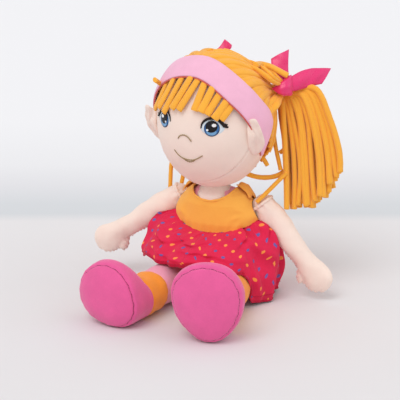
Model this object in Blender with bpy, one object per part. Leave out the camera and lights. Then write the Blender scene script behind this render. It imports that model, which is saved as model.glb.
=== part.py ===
"""A seated rag doll: a stuffed cloth body, cord hair with a headband and two bows, and a dress.

Metres, +Z up. The doll faces -Y and its own left side is +X. The origin is on the floor, under
the middle of the flat seat. Places are given as (sideways, forward, height).
"""

import math

import bmesh
import bpy
from mathutils import Matrix, Vector

X_AXIS = Vector((1, 0, 0))
Y_AXIS = Vector((0, 1, 0))
Z_AXIS = Vector((0, 0, 1))

# Cloth, and the space between pieces
COVER = 0.0012
DRESS_CLOTH = 0.0009
GAP = 0.0003
OVERRUN = 0.030
LAP_TURN_STEPS = 6

# Torso
TORSO_HEIGHT = 0.086
TORSO_HALF_WIDTH = 0.0330
TORSO_HALF_DEPTH = 0.0240
TORSO_LEAN = 0.0147
TORSO_SIDES = 18
TORSO_SHARES = (
    # height, half width, half depth
    (0.00, 0.80, 0.78),
    (0.03, 0.90, 0.88),
    (0.12, 0.98, 0.97),
    (0.40, 1.00, 1.00),
    (0.68, 0.98, 0.95),
    (0.85, 0.87, 0.80),
    (0.93, 0.72, 0.67),
    (0.98, 0.52, 0.52),
    (1.00, 0.34, 0.40),
)

# Neck
NECK_FORWARD = 0.015
NECK_RADIUS = 0.0085
NECK_SEAT = 0.012
NECK_BOTTOM = TORSO_HEIGHT - NECK_SEAT
NECK_BALL_RADIUS = 0.0115
NECK_BALL_STEPS = 5
NECK_RISE = 0.008
NECK_PIVOT_HEIGHT = TORSO_HEIGHT + NECK_RISE
NECK_SIDES = 16

# Head
HEAD_HALF_WIDTH = 0.0450
HEAD_HALF_DEPTH = 0.0420
HEAD_HALF_HEIGHT = 0.0525
HEAD_FORWARD = 0.019
HEAD_RISE = 0.0455
HEAD_HEIGHT = NECK_PIVOT_HEIGHT + HEAD_RISE
HEAD_TURN_DEG = -6.5
HEAD_SIDES = 24
HEAD_RINGS = 12
CHIN_SEAM_FORWARD = 0.042
CHIN_SEAM_DROP = 0.0415
CHIN_SEAM_HEIGHT = HEAD_HEIGHT - CHIN_SEAM_DROP
CHIN_SEAM_SLOPE_SHARE = 0.30

# Face
EYE_SPACING = 0.0410
EYE_RISE = 0.0035
EYE_HEIGHT = HEAD_HEIGHT + EYE_RISE
EYE_HALF_WIDTH = 0.0088
EYE_HALF_HEIGHT = 0.0082
IRIS_RADIUS = 0.0062
PUPIL_RADIUS = 0.0040
EYE_LAYER = 0.0004
LASH_LENGTH = 0.0060
LASH_WIDTH = 0.0040
LASH_RISE_SHARE = 0.33
NOSE_DROP = 0.0060
NOSE_HEIGHT = HEAD_HEIGHT - NOSE_DROP
NOSE_HALF_WIDTH = 0.0056
NOSE_RISE = 0.0030
MOUTH_DROP = 0.0185
MOUTH_HEIGHT = HEAD_HEIGHT - MOUTH_DROP
MOUTH_HALF_WIDTH = 0.0125
MOUTH_SAG = 0.0050
THREAD_RADIUS = 0.0006
THREAD_SIDES = 5
THREAD_STEPS = 8

# Ears
EAR_SIDEWAYS = 0.0435
EAR_FORWARD = 0.035
EAR_DROP = 0.0025
EAR_HEIGHT = HEAD_HEIGHT - EAR_DROP
EAR_HALF_WIDTH = 0.0085
EAR_HALF_DEPTH = 0.0052
EAR_HALF_HEIGHT = 0.0125

# Headband
BAND_HALF_WIDTH = 0.0090
BAND_TILT_DEG = 29.0
BAND_LIFT = 0.0050
BAND_CLOTH = 0.0010
BAND_END_DROP = 0.0215
BAND_END_HEIGHT = HEAD_HEIGHT - BAND_END_DROP

# Hair
HAIR_LIFT = 0.0036
HAIR_DEPTH = 0.0031
NAPE_DROP = 0.0275
NAPE_HEIGHT = HEAD_HEIGHT - NAPE_DROP
FRINGE_END_SHARE = 4 / 15
FRINGE_END_HEIGHT = HEAD_HEIGHT + HEAD_HALF_HEIGHT * FRINGE_END_SHARE
FRINGE_HALF_WIDTH = 0.036
FRINGE_PARTING = 0.0016
FRINGE_LIFT = 0.0034
FRINGE_DEPTH = 0.0030
FRINGE_CORDS = 6
FRINGE_SLIT = 0.0006
FRINGE_SLIT_SHARE = 4 / 7
FRINGE_SLIT_LENGTH = HEAD_HALF_HEIGHT * FRINGE_SLIT_SHARE
TIE_SIDEWAYS = 0.0470
TIE_FORWARD = -0.012
TIE_RISE = 0.0255
TIE_HEIGHT = HEAD_HEIGHT + TIE_RISE
TIE_RADIUS = 0.0060
GATHER_RADIUS = 0.0100
GATHER_LENGTH = 0.0170
GATHER_SHARES = (
    # distance back from the tie, and how far it has closed from full to waist
    (1.00, 0.00),
    (0.62, 0.30),
    (0.56, 1.00),
    (0.16, 1.00),
)
PIGTAIL_LOBES = 8
PIGTAIL_LOBE_SHARE = 0.10
PIGTAIL_ROOT_SHARE = 0.3
PIGTAIL_ROOT_SIZE_SHARE = 0.8
# Places from the tie, and the half width and half depth there
LEFT_PIGTAIL = (
    ((0.0060, -0.004, -0.0015), 0.0085, 0.0070),
    ((0.0130, -0.007, -0.0100), 0.0125, 0.0080),
    ((0.0175, -0.010, -0.0300), 0.0175, 0.0085),
    ((0.0195, -0.012, -0.0600), 0.0195, 0.0088),
    ((0.0175, -0.012, -0.0950), 0.0175, 0.0082),
)
RIGHT_PIGTAIL = (
    ((0.0060, -0.006, -0.0015), 0.0080, 0.0070),
    ((0.0080, -0.012, -0.0100), 0.0100, 0.0100),
    ((0.0070, -0.018, -0.0300), 0.0110, 0.0130),
    ((0.0060, -0.021, -0.0550), 0.0110, 0.0145),
    ((0.0050, -0.020, -0.0830), 0.0100, 0.0125),
)

# Bows
RIBBON_WIDTH = 0.0150
RIBBON_CLOTH = 0.0010
KNOT_HALF_WIDTH = 0.0062
KNOT_HALF_DEPTH = 0.0042
RIBBON_NECK_SHARE = 0.45
RIBBON_SLANT_SHARE = 0.5
WAIST_SHARE = 0.38
WAIST_HALF_SHARE = 0.15
TAIL_STEP = 0.0016
# Places along each tail, from the knot's middle
LEFT_TAILS = (
    ((0.001, -0.002, 0.007), (0.003, -0.004, 0.015), (0.006, -0.004, 0.024)),
    ((0.008, -0.002, 0.003), (0.021, -0.004, 0.008), (0.036, -0.004, 0.011)),
)
RIGHT_TAILS = (
    ((-0.003, -0.005, 0.007), (-0.008, -0.014, 0.014), (-0.016, -0.022, 0.021)),
    ((-0.003, -0.007, 0.009), (-0.005, -0.015, 0.011), (-0.008, -0.026, 0.006)),
)

# Arms
SHOULDER_SIDEWAYS = 0.0380
SHOULDER_FORWARD = 0.0070
SHOULDER_DROP = 0.015
SHOULDER_HEIGHT = TORSO_HEIGHT - SHOULDER_DROP
ARM_ROOT_RADIUS = 0.0088
ARM_LENGTH = 0.0810
ARM_RADIUS = 0.0092
ARM_SIDES = 10
LEFT_ARM_DIRECTION_SHARES = (0.640, 0.047, -0.766)
RIGHT_ARM_DIRECTION_SHARES = (-0.796, -0.254, -0.549)
ARM_SHARES = (
    # distance along, half width, half thickness
    (0.12, 0.96, 0.96),
    (0.40, 1.02, 0.98),
    (0.66, 0.92, 0.86),
    (0.78, 1.08, 0.80),
    (0.89, 1.10, 0.74),
    (0.96, 0.82, 0.58),
)
THUMB_LENGTH = 0.0110
THUMB_RADIUS = 0.0045
THUMB_SHARE = 0.80
THUMB_OUT_SHARE = 0.80
THUMB_LEAN_SHARE = 0.75
# How far out and up an arm points at the ends of its swing and lift
ARM_LOWEST_SHARES = (0.45, -0.90)
ARM_HIGHEST_SHARES = (0.90, 0.45)

# Legs
HIP_SIDEWAYS = 0.0210
HIP_FORWARD = 0.0200
HIP_HEIGHT = 0.0160
LEG_ROOT_RADIUS = 0.0141
LEG_RADIUS = 0.0155
LEG_SIDES = 12
LEFT_LEG_YAW_DEG = 13.0
RIGHT_LEG_YAW_DEG = -3.5
LEG_COVER_LENGTH = 0.0620
CUFF_LENGTH = 0.0195
BOOT_UPPER_LENGTH = 0.0205
BOOT_SOLE_LENGTH = 0.0100
CUFF_START = LEG_COVER_LENGTH
BOOT_START = CUFF_START + CUFF_LENGTH
SOLE_START = BOOT_START + BOOT_UPPER_LENGTH
LEG_LENGTH = SOLE_START + BOOT_SOLE_LENGTH
LEG_STATION_SHARES = (0.32, 0.68)
CUFF_STATION_SHARES = (0.46,)
LEG_SWELL_SHARE = 0.99
BOOT_HALF_WIDTH = 0.0265
BOOT_HALF_HEIGHT = 0.0300
BOOT_EGG_SHARE = 0.17
LEFT_BOOT_ROLL_DEG = -6.0
RIGHT_BOOT_ROLL_DEG = -52.0
BOOT_UPPER_SHARES = (
    # distance from the ankle to the sole seam, and how far the outline has grown
    (0.22, 0.42),
    (0.45, 0.76),
    (0.72, 0.97),
)
BOOT_SOLE_SHARES = (
    # distance from the sole seam to the front, and the size of the outline
    (0.35, 0.90),
    (0.65, 0.74),
    (0.88, 0.47),
)
BOOT_SEAM_SHARE = 0.98

# Rings of seam allowance where the limbs are sewn in
SEAM_CLOTH = 0.0010
SEAM_MARGIN = 0.0010
ARM_OPENING_RADIUS = 0.0030

# Dress
YOKE_EASE = 0.0018
YOKE_SEAM_DROP = 0.030
YOKE_SEAM_HEIGHT = TORSO_HEIGHT - YOKE_SEAM_DROP
YOKE_SEAM_SLOPE_SHARE = 0.08
NECKLINE_HALF_WIDTH = 0.0190
NECKLINE_HALF_DEPTH = 0.0180
NECKLINE_FORWARD = 0.0130
ARMHOLE_RADIUS = 0.0126
TAB_LENGTH = 0.0110
TAB_WIDTH = 0.0090
SKIRT_HALF_WIDTH = 0.0570
SKIRT_HALF_DEPTH = 0.0500
SKIRT_SIDEWAYS = -0.0020
SKIRT_FORWARD = 0.0195
SKIRT_PUFF = 0.0090
SKIRT_TUCK = 0.0040
SKIRT_FOLDS = 9
SKIRT_FOLD_DEPTH = 0.0018
SKIRT_SLOW_FOLDS = 5
SKIRT_SLOW_FOLD_SHARE = 0.5
SKIRT_SLOW_FOLD_TURN = 1.0
SKIRT_BELLY_TUCKS = 2.2
SKIRT_BELLY_SHARE = 0.45
SKIRT_SIDES = 54
SKIRT_LEVELS = 6
SKIRT_FRONT_HEM = 0.0345
SKIRT_LEFT_HEM = 0.0290
SKIRT_RIGHT_HEM = 0.0270
SKIRT_FLOOR_HEM = 0.0030
# The hem's heights round the skirt, in degrees from the front towards the doll's left
HEM_HEIGHTS_DEG = (
    (-180.0, SKIRT_FLOOR_HEM),
    (-125.0, SKIRT_FLOOR_HEM),
    (-78.0, SKIRT_RIGHT_HEM),
    (-35.0, SKIRT_FRONT_HEM),
    (20.0, SKIRT_FRONT_HEM),
    (47.0, SKIRT_LEFT_HEM),
    (62.0, SKIRT_FLOOR_HEM),
    (180.0, SKIRT_FLOOR_HEM),
)

COLOURS = {
    # name: colour, roughness
    "skin": ((0.90, 0.72, 0.63), 0.90),
    "pink_cloth": ((0.93, 0.40, 0.56), 0.90),
    "filling": ((0.92, 0.91, 0.88), 1.00),
    "hair": ((1.00, 0.36, 0.04), 0.85),
    "headband": ((0.86, 0.42, 0.62), 0.85),
    "ribbon": ((0.78, 0.04, 0.22), 0.35),
    "yoke_cloth": ((0.98, 0.42, 0.06), 0.85),
    "skirt_cloth": ((0.72, 0.02, 0.09), 0.85),
    "cuff_cloth": ((0.95, 0.36, 0.04), 0.85),
    "boot_cloth": ((0.82, 0.13, 0.38), 0.85),
    "eye_white": ((0.85, 0.92, 0.95), 0.50),
    "iris": ((0.08, 0.24, 0.52), 0.40),
    "pupil": ((0.01, 0.01, 0.015), 0.35),
    "face_thread": ((0.30, 0.22, 0.12), 0.60),
}


def clear_scene():
    for obj in list(bpy.data.objects):
        bpy.data.objects.remove(obj, do_unlink=True)


def material(name):
    found = bpy.data.materials.get(name)
    if found:
        return found
    colour, roughness = COLOURS[name]
    made = bpy.data.materials.new(name)
    made.use_nodes = True
    shader = made.node_tree.nodes["Principled BSDF"]
    shader.inputs["Base Color"].default_value = (*colour, 1.0)
    shader.inputs["Roughness"].default_value = roughness
    shader.inputs["Metallic"].default_value = 0.0
    return made


def place(sideways, forward, height):
    """A point from its place on the doll."""
    return Vector((sideways, -forward, height))


def offset(sideways, forward, height):
    """A step in the directions that place uses."""
    return Vector((sideways, -forward, height))


def make(name, bm, material_name, pivot=None):
    """An object from a mesh in world places, with its origin at the pivot."""
    origin = pivot.copy() if pivot else Vector()
    bmesh.ops.recalc_face_normals(bm, faces=bm.faces)
    bmesh.ops.translate(bm, vec=-origin, verts=bm.verts)
    mesh = bpy.data.meshes.new(name)
    bm.to_mesh(mesh)
    bm.free()
    mesh.shade_smooth()
    mesh.set_sharp_from_angle(angle=math.radians(40))
    obj = bpy.data.objects.new(name, mesh)
    obj.location = origin
    bpy.context.collection.objects.link(obj)
    if material_name:
        mesh.materials.append(material(material_name))
    return obj


def helper(name, bm):
    """A cutter or a second body of a Boolean, which isn't a piece of the doll."""
    obj = make(name, bm, None)
    obj.hide_render = True
    obj.display_type = "WIRE"
    return obj


def boolean(obj, operation, *others):
    for other in others:
        modifier = obj.modifiers.new(other.name, "BOOLEAN")
        modifier.operation = operation
        modifier.solver = "EXACT"
        modifier.object = other
    return obj


def thicken(obj, thickness):
    """The cloth of an open surface, laid inside it."""
    modifier = obj.modifiers.new("cloth", "SOLIDIFY")
    modifier.thickness = thickness
    modifier.offset = -1.0
    modifier.use_even_offset = True
    modifier.use_rim = True
    return obj


def circle_angles(count):
    return [2 * math.pi * k / count for k in range(count)]


def ellipse(centre, side, up, half_side, half_up, count):
    return [
        centre + side * (half_side * math.cos(a)) + up * (half_up * math.sin(a))
        for a in circle_angles(count)
    ]


def loft(rings, start=None, end=None, joined=False):
    """A surface through rings of points. A start or end point closes that end with a fan."""
    bm = bmesh.new()
    rows = [[bm.verts.new(p) for p in ring] for ring in (rings[:-1] if joined else rings)]
    if joined:
        rows.append(rows[0])
    count = len(rows[0])
    for row, after in zip(rows, rows[1:]):
        for k in range(count):
            m = (k + 1) % count
            bm.faces.new((row[k], row[m], after[m], after[k]))
    for row, tip in ((rows[0], start), (rows[-1], end)):
        if tip is None:
            continue
        middle = bm.verts.new(tip)
        for k in range(count):
            bm.faces.new((row[k], row[(k + 1) % count], middle))
    return bm


def sleeve(outer, inner):
    """A wall between two runs of rings, open at both ends."""
    return loft([*outer, *reversed(inner), outer[0]], joined=True)


def cup(outer, inner, outer_tip, inner_tip):
    """A wall between two runs of rings, open at their start and closed at their tips."""
    return loft([*reversed(outer), *inner], outer_tip, inner_tip)


def mean(ring):
    return sum(ring, Vector()) / len(ring)


def closed_loft(rings):
    return loft(rings, mean(rings[0]), mean(rings[-1]))


def ball(centre, half_x, half_y, half_z, segments, rings):
    bm = bmesh.new()
    bmesh.ops.create_uvsphere(bm, u_segments=segments, v_segments=rings, radius=1.0)
    shape = Matrix.Translation(centre) @ Matrix.Diagonal((half_x, half_y, half_z, 1.0))
    bmesh.ops.transform(bm, matrix=shape, verts=bm.verts)
    return bm


def round_ball(centre, radius, segments=20, rings=12):
    return ball(centre, radius, radius, radius, segments, rings)


def keep_side(bm, point, normal):
    """Cuts the mesh at a plane and keeps what the normal points at."""
    bmesh.ops.bisect_plane(
        bm,
        geom=bm.verts[:] + bm.edges[:] + bm.faces[:],
        dist=GAP * 1e-3,
        plane_co=point,
        plane_no=normal,
        clear_inner=True,
    )
    return bm


def cylinder(centre, axis, half_side, half_up, length, count, side=None):
    """A closed elliptical cylinder about an axis."""
    side = side or axis.orthogonal().normalized()
    up = axis.cross(side).normalized()
    ends = (centre - axis * (length / 2), centre + axis * (length / 2))
    return closed_loft([ellipse(e, side, up, half_side, half_up, count) for e in ends])


def slab(centre, size):
    """A block with its sides along the axes."""
    bm = bmesh.new()
    bmesh.ops.create_cube(bm, size=1.0)
    shape = Matrix.Translation(centre) @ Matrix.Diagonal((*size, 1.0))
    bmesh.ops.transform(bm, matrix=shape, verts=bm.verts)
    return bm


# Torso


def torso_rings(inset, sides=TORSO_SIDES):
    rings = []
    for height_share, width_share, depth_share in TORSO_SHARES:
        height = inset + (TORSO_HEIGHT - 2 * inset) * height_share
        centre = place(0, TORSO_LEAN * height_share, height)
        half_width = TORSO_HALF_WIDTH * width_share - inset
        half_depth = TORSO_HALF_DEPTH * depth_share - inset
        rings.append(ellipse(centre, X_AXIS, Y_AXIS, half_width, half_depth, sides))
    return rings


def hip_place(side):
    return place(side * HIP_SIDEWAYS, HIP_FORWARD, HIP_HEIGHT)


def shoulder_place(side):
    return place(side * SHOULDER_SIDEWAYS, SHOULDER_FORWARD, SHOULDER_HEIGHT)


def hip_room_radius():
    return max(LEG_ROOT_RADIUS + SEAM_CLOTH, LEG_RADIUS * LEG_SWELL_SHARE) + 2 * GAP


def shoulder_room_radius():
    return ARM_ROOT_RADIUS + SEAM_CLOTH + 2 * GAP


def lap_cutter(grow):
    """The space under the belly that both legs turn through, from sitting to straight."""
    middle = hip_place(0)
    radius = hip_room_radius() + grow
    turn = [
        (middle.y + radius * math.cos(a), middle.z + radius * math.sin(a))
        for a in (math.pi / 2 * k / LAP_TURN_STEPS for k in range(LAP_TURN_STEPS + 1))
    ]
    front = middle.y - TORSO_HALF_DEPTH - OVERRUN
    outline = [(middle.y + radius, -OVERRUN), *turn, (front, middle.z + radius), (front, -OVERRUN)]
    half = TORSO_HALF_WIDTH + OVERRUN
    rings = [[Vector((x, y, z)) for y, z in outline] for x in (-half, half)]
    return closed_loft(rings)


def limb_rooms(name, grow):
    """What the torso leaves free for the legs and the arms, grown by a wall."""
    rooms = [helper(f"lap_{name}", lap_cutter(grow))]
    for side in (1, -1):
        room = round_ball(shoulder_place(side), shoulder_room_radius() + grow)
        rooms.append(helper(f"shoulder_room_{name}", room))
    return rooms


def neck_bore():
    height = 2 * (TORSO_HEIGHT - NECK_BOTTOM + GAP)
    radius = NECK_RADIUS + GAP
    top = place(0, NECK_FORWARD, TORSO_HEIGHT)
    return helper("neck_bore", cylinder(top, Z_AXIS, radius, radius, height, NECK_SIDES))


def torso():
    bore = neck_bore()
    cover = make("torso_cover", closed_loft(torso_rings(0)), "pink_cloth")
    inside = helper("torso_inside", closed_loft(torso_rings(COVER)))
    boolean(inside, "DIFFERENCE", *limb_rooms("inside", COVER))
    boolean(cover, "DIFFERENCE", inside, *limb_rooms("cover", 0), bore)
    filling = make("torso_filling", closed_loft(torso_rings(COVER + GAP)), "filling")
    boolean(filling, "DIFFERENCE", *limb_rooms("filling", COVER + GAP), bore)


# Neck and head


def neck_pivot():
    return place(0, NECK_FORWARD, NECK_PIVOT_HEIGHT)


def neck_rings(inset):
    """Rings up the column and round the ball on it, and the ball's top."""
    radius = NECK_BALL_RADIUS - inset
    column = NECK_RADIUS - inset
    pivot = neck_pivot()
    start = -math.acos(column / radius)
    heights = [NECK_BOTTOM + (GAP if inset else 0)]
    widths = [column]
    for k in range(NECK_BALL_STEPS):
        angle = start + (math.pi / 2 - start) * k / NECK_BALL_STEPS
        heights.append(pivot.z + radius * math.sin(angle))
        widths.append(radius * math.cos(angle))
    rings = [
        ellipse(Vector((pivot.x, pivot.y, z)), X_AXIS, Y_AXIS, w, w, NECK_SIDES)
        for z, w in zip(heights, widths)
    ]
    return rings, pivot + Z_AXIS * radius


def neck():
    rings, top = neck_rings(0)
    pivot = neck_pivot()
    thicken(make("neck_cover", loft(rings, end=top), "skin", pivot), COVER)
    rings, top = neck_rings(COVER + GAP)
    make("neck_filling", loft(rings, mean(rings[0]), top), "filling", pivot)


def head_centre():
    return place(0, HEAD_FORWARD, HEAD_HEIGHT)


def head_ball(grow):
    return ball(
        head_centre(),
        HEAD_HALF_WIDTH + grow,
        HEAD_HALF_DEPTH + grow,
        HEAD_HALF_HEIGHT + grow,
        HEAD_SIDES,
        HEAD_RINGS,
    )


def face_plane():
    """A point on the seam between the head's panels, and the way that its front faces."""
    point = place(0, CHIN_SEAM_FORWARD, CHIN_SEAM_HEIGHT)
    along = offset(0, -CHIN_SEAM_SLOPE_SHARE, 1.0)
    return point, along.cross(X_AXIS).normalized()


def head():
    pivot = neck_pivot()
    point, front = face_plane()
    if front.y > 0:
        front = -front
    face = keep_side(head_ball(0), point + front * (GAP / 2), front)
    thicken(make("head_face_panel", face, "skin", pivot), COVER)
    back = keep_side(head_ball(0), point - front * (GAP / 2), -front)
    back_panel = thicken(make("head_back_panel", back, "skin", pivot), COVER)
    socket = helper("neck_socket", round_ball(pivot, NECK_BALL_RADIUS + GAP, 24, 14))
    boolean(back_panel, "DIFFERENCE", socket)
    filling = make("head_filling", head_ball(-COVER - GAP), "filling", pivot)
    boolean(filling, "DIFFERENCE", socket)


def face_point(sideways, height, lift=0.0):
    """The point of the face at a place across and up it, raised off the cloth by lift."""
    centre = head_centre()
    x = sideways / (HEAD_HALF_WIDTH + lift)
    z = (height - centre.z) / (HEAD_HALF_HEIGHT + lift)
    depth = (HEAD_HALF_DEPTH + lift) * math.sqrt(max(0.0, 1 - x * x - z * z))
    return Vector((sideways, centre.y - depth, height))


def face_patch(name, centre, half_width, half_height, layer, material_name, count=14):
    """An embroidered patch: a disc that follows the face, on its own layer above the cloth."""
    sideways, height = centre
    low = GAP + layer * (EYE_LAYER + GAP)
    lifts = (low, low + EYE_LAYER)
    rings = [
        [
            face_point(sideways + half_width * math.cos(a), height + half_height * math.sin(a), lift)
            for a in circle_angles(count)
        ]
        for lift in lifts
    ]
    bottom, top = (face_point(sideways, height, lift) for lift in lifts)
    make(name, loft(rings, bottom, top), material_name, neck_pivot())


def thread(name, points):
    """A run of thread on the face, as a tube along the points."""
    rings = []
    for k, point in enumerate(points):
        along = (points[min(k + 1, len(points) - 1)] - points[max(k - 1, 0)]).normalized()
        side = along.cross(Y_AXIS).normalized()
        up = along.cross(side).normalized()
        rings.append(ellipse(point, side, up, THREAD_RADIUS, THREAD_RADIUS, THREAD_SIDES))
    make(name, closed_loft(rings), "face_thread", neck_pivot())


def face():
    for side, name in ((1, "left"), (-1, "right")):
        eye = (side * EYE_SPACING / 2, EYE_HEIGHT)
        face_patch(f"eye_white_{name}", eye, EYE_HALF_WIDTH, EYE_HALF_HEIGHT, 0, "eye_white", 16)
        face_patch(f"iris_{name}", eye, IRIS_RADIUS, IRIS_RADIUS, 1, "iris")
        face_patch(f"pupil_{name}", eye, PUPIL_RADIUS, PUPIL_RADIUS, 2, "pupil", 10)
        lash_sideways = eye[0] + side * (EYE_HALF_WIDTH + GAP + LASH_LENGTH / 2)
        lash = (lash_sideways, EYE_HEIGHT + EYE_HALF_HEIGHT * LASH_RISE_SHARE)
        face_patch(f"lashes_{name}", lash, LASH_LENGTH / 2, LASH_WIDTH / 2, 0, "pupil", 8)
    lift = GAP + THREAD_RADIUS
    steps = [2 * k / THREAD_STEPS - 1 for k in range(THREAD_STEPS + 1)]
    nose = [
        face_point(NOSE_HALF_WIDTH * s, NOSE_HEIGHT + NOSE_RISE * (1 - s * s), lift) for s in steps
    ]
    thread("nose_stitching", nose)
    mouth = [
        face_point(MOUTH_HALF_WIDTH * s, MOUTH_HEIGHT - MOUTH_SAG * (1 - s * s), lift) for s in steps
    ]
    thread("mouth_stitching", mouth)


def ears():
    skull = helper("ear_seat", head_ball(GAP))
    normal = band_normal()
    size = 4 * HEAD_HALF_HEIGHT
    behind = slab(Vector((0, BAND_HALF_WIDTH + GAP - size / 2, 0)), (size, size, size))
    turn = Matrix.Translation(head_centre()) @ normal.to_track_quat("-Y", "Z").to_matrix().to_4x4()
    bmesh.ops.transform(behind, matrix=turn, verts=behind.verts)
    band_side = helper("ear_band_side", behind)
    for side, name in ((1, "left"), (-1, "right")):
        centre = place(side * EAR_SIDEWAYS, EAR_FORWARD, EAR_HEIGHT)
        bm = ball(centre, EAR_HALF_WIDTH, EAR_HALF_DEPTH, EAR_HALF_HEIGHT, 12, 8)
        boolean(make(f"ear_{name}", bm, "skin", neck_pivot()), "DIFFERENCE", skull, band_side)


# Hair, headband and bows


def band_normal():
    """The way across the headband, towards the back of the head."""
    tilt = math.radians(BAND_TILT_DEG)
    return Vector((0, math.cos(tilt), math.sin(tilt)))


def headband():
    normal = band_normal()
    centre = head_centre()
    bm = head_ball(BAND_LIFT)
    keep_side(bm, centre - normal * BAND_HALF_WIDTH, normal)
    keep_side(bm, centre + normal * BAND_HALF_WIDTH, -normal)
    keep_side(bm, Vector((0, 0, BAND_END_HEIGHT)), Z_AXIS)
    thicken(make("headband", bm, "headband", neck_pivot()), BAND_CLOTH)


def tie_place(side):
    return place(side * TIE_SIDEWAYS, TIE_FORWARD, TIE_HEIGHT)


def gather_direction(side):
    """Out of the head through the tie."""
    step = tie_place(side) - head_centre()
    halves = (HEAD_HALF_WIDTH, HEAD_HALF_DEPTH, HEAD_HALF_HEIGHT)
    return Vector([d / (h * h) for d, h in zip(step, halves)]).normalized()


def gather_frame(side):
    """The way out of the head through the tie, and two ways across it, the first to the front."""
    out = gather_direction(side)
    front = (out * out.y - Y_AXIS).normalized()
    return out, front, out.cross(front)


def gather(side, name):
    """The neck of hair between the head and the tie, with a waist for the ribbon."""
    out, front, across = gather_frame(side)
    tie = tie_place(side)
    waist = TIE_RADIUS - RIBBON_CLOTH
    rings = []
    for share, closed in GATHER_SHARES:
        radius = GATHER_RADIUS + (waist - GATHER_RADIUS) * closed
        centre = tie - out * (GATHER_LENGTH * share)
        rings.append(ellipse(centre, front, across, radius, radius, 12))
    return helper(f"gather_{name}", closed_loft(rings))


def hair_cap():
    normal = band_normal()
    bm = head_ball(HAIR_LIFT)
    keep_side(bm, head_centre() - normal * BAND_HALF_WIDTH, normal)
    keep_side(bm, Vector((0, 0, NAPE_HEIGHT)), Z_AXIS)
    cap = thicken(make("hair_cap", bm, "hair", neck_pivot()), HAIR_DEPTH)
    inner = helper("hair_skull", head_ball(HAIR_LIFT - HAIR_DEPTH))
    for side, name in ((1, "left"), (-1, "right")):
        neck_of_hair = gather(side, name)
        boolean(neck_of_hair, "DIFFERENCE", inner)
        boolean(cap, "UNION", neck_of_hair)
        room = helper(f"tie_room_{name}", round_ball(tie_place(side), TIE_RADIUS + GAP, 16, 10))
        boolean(cap, "DIFFERENCE", room)


def fringe():
    """Two combs of short cords that lie on the forehead, one on each side of the parting."""
    normal = band_normal()
    front_edge = head_centre() - normal * (BAND_HALF_WIDTH + GAP)
    pitch = (FRINGE_HALF_WIDTH - FRINGE_PARTING / 2) / FRINGE_CORDS
    for side, name in ((1, "left"), (-1, "right")):
        bm = head_ball(FRINGE_LIFT)
        keep_side(bm, front_edge, -normal)
        keep_side(bm, Vector((0, 0, FRINGE_END_HEIGHT)), Z_AXIS)
        keep_side(bm, Vector((side * FRINGE_PARTING / 2, 0, 0)), X_AXIS * side)
        keep_side(bm, Vector((side * FRINGE_HALF_WIDTH, 0, 0)), X_AXIS * -side)
        comb = thicken(make(f"fringe_{name}", bm, "hair", neck_pivot()), FRINGE_DEPTH)
        for k in range(1, FRINGE_CORDS):
            across = side * (FRINGE_PARTING / 2 + pitch * k)
            slit = slab(
                Vector((across, head_centre().y - HEAD_HALF_DEPTH, FRINGE_END_HEIGHT - FRINGE_LIFT)),
                (FRINGE_SLIT, 4 * HEAD_HALF_DEPTH, FRINGE_SLIT_LENGTH),
            )
            boolean(comb, "DIFFERENCE", helper(f"slit_{name}_{k}", slit))


def pigtail_ring(centre, along, half_width, half_depth, lobes, count):
    side = Y_AXIS.cross(along).normalized()
    depth = along.cross(side).normalized()
    ring = []
    for angle in circle_angles(count):
        swell = 1 + lobes * math.cos(PIGTAIL_LOBES * angle)
        ring.append(
            centre
            + side * (half_width * swell * math.cos(angle))
            + depth * (half_depth * swell * math.sin(angle))
        )
    return ring


def pigtails():
    tables = ((1, "left", LEFT_PIGTAIL), (-1, "right", RIGHT_PIGTAIL))
    for side, name, table in tables:
        tie = tie_place(side)
        places = [tie + offset(side * s, f, h) for (s, f, h), _, _ in table]
        route = [tie + (places[0] - tie) * PIGTAIL_ROOT_SHARE, *places]
        root_size = TIE_RADIUS * PIGTAIL_ROOT_SIZE_SHARE
        sizes = [(root_size, root_size), *[(w, d) for _, w, d in table]]
        rings = []
        for k, (point, (half_width, half_depth)) in enumerate(zip(route, sizes)):
            after = route[min(k + 1, len(route) - 1)]
            before = route[k - 1] if k else tie
            along = (after - before).normalized()
            share = PIGTAIL_LOBE_SHARE * min(1.0, k / 2)
            rings.append(
                pigtail_ring(point, along, half_width, half_depth, share, 4 * PIGTAIL_LOBES)
            )
        bundle = make(f"pigtail_{name}", closed_loft(rings), "hair", tie)
        root = helper(f"pigtail_root_{name}", round_ball(tie, TIE_RADIUS, 12, 8))
        boolean(bundle, "UNION", root)


def ribbon(points, width_axis):
    """A strip of ribbon through the points, cut slantwise at its end."""
    rings = []
    last = len(points) - 1
    for k, point in enumerate(points):
        along = (points[min(k + 1, last)] - points[max(k - 1, 0)]).normalized()
        across = (width_axis - along * width_axis.dot(along)).normalized()
        flat = along.cross(across)
        opened = RIBBON_NECK_SHARE + (1 - RIBBON_NECK_SHARE) * min(1.0, k / 2)
        half = RIBBON_WIDTH / 2 * opened
        slant = along * (half * RIBBON_SLANT_SHARE if k == last else 0.0)
        thick = flat * (RIBBON_CLOTH / 2)
        left = point + across * half + slant
        right = point - across * half - slant
        rings.append([left + thick, right + thick, right - thick, left - thick])
    return closed_loft(rings)


def knot_ball(middle, front, grow):
    half_width, half_depth = KNOT_HALF_WIDTH + grow, KNOT_HALF_DEPTH + grow
    bm = ball(Vector(), half_width, half_depth, half_width, 10, 6)
    facing = Matrix.Translation(middle) @ front.to_track_quat("-Y", "Z").to_matrix().to_4x4()
    bmesh.ops.transform(bm, matrix=facing, verts=bm.verts)
    return bm


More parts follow.
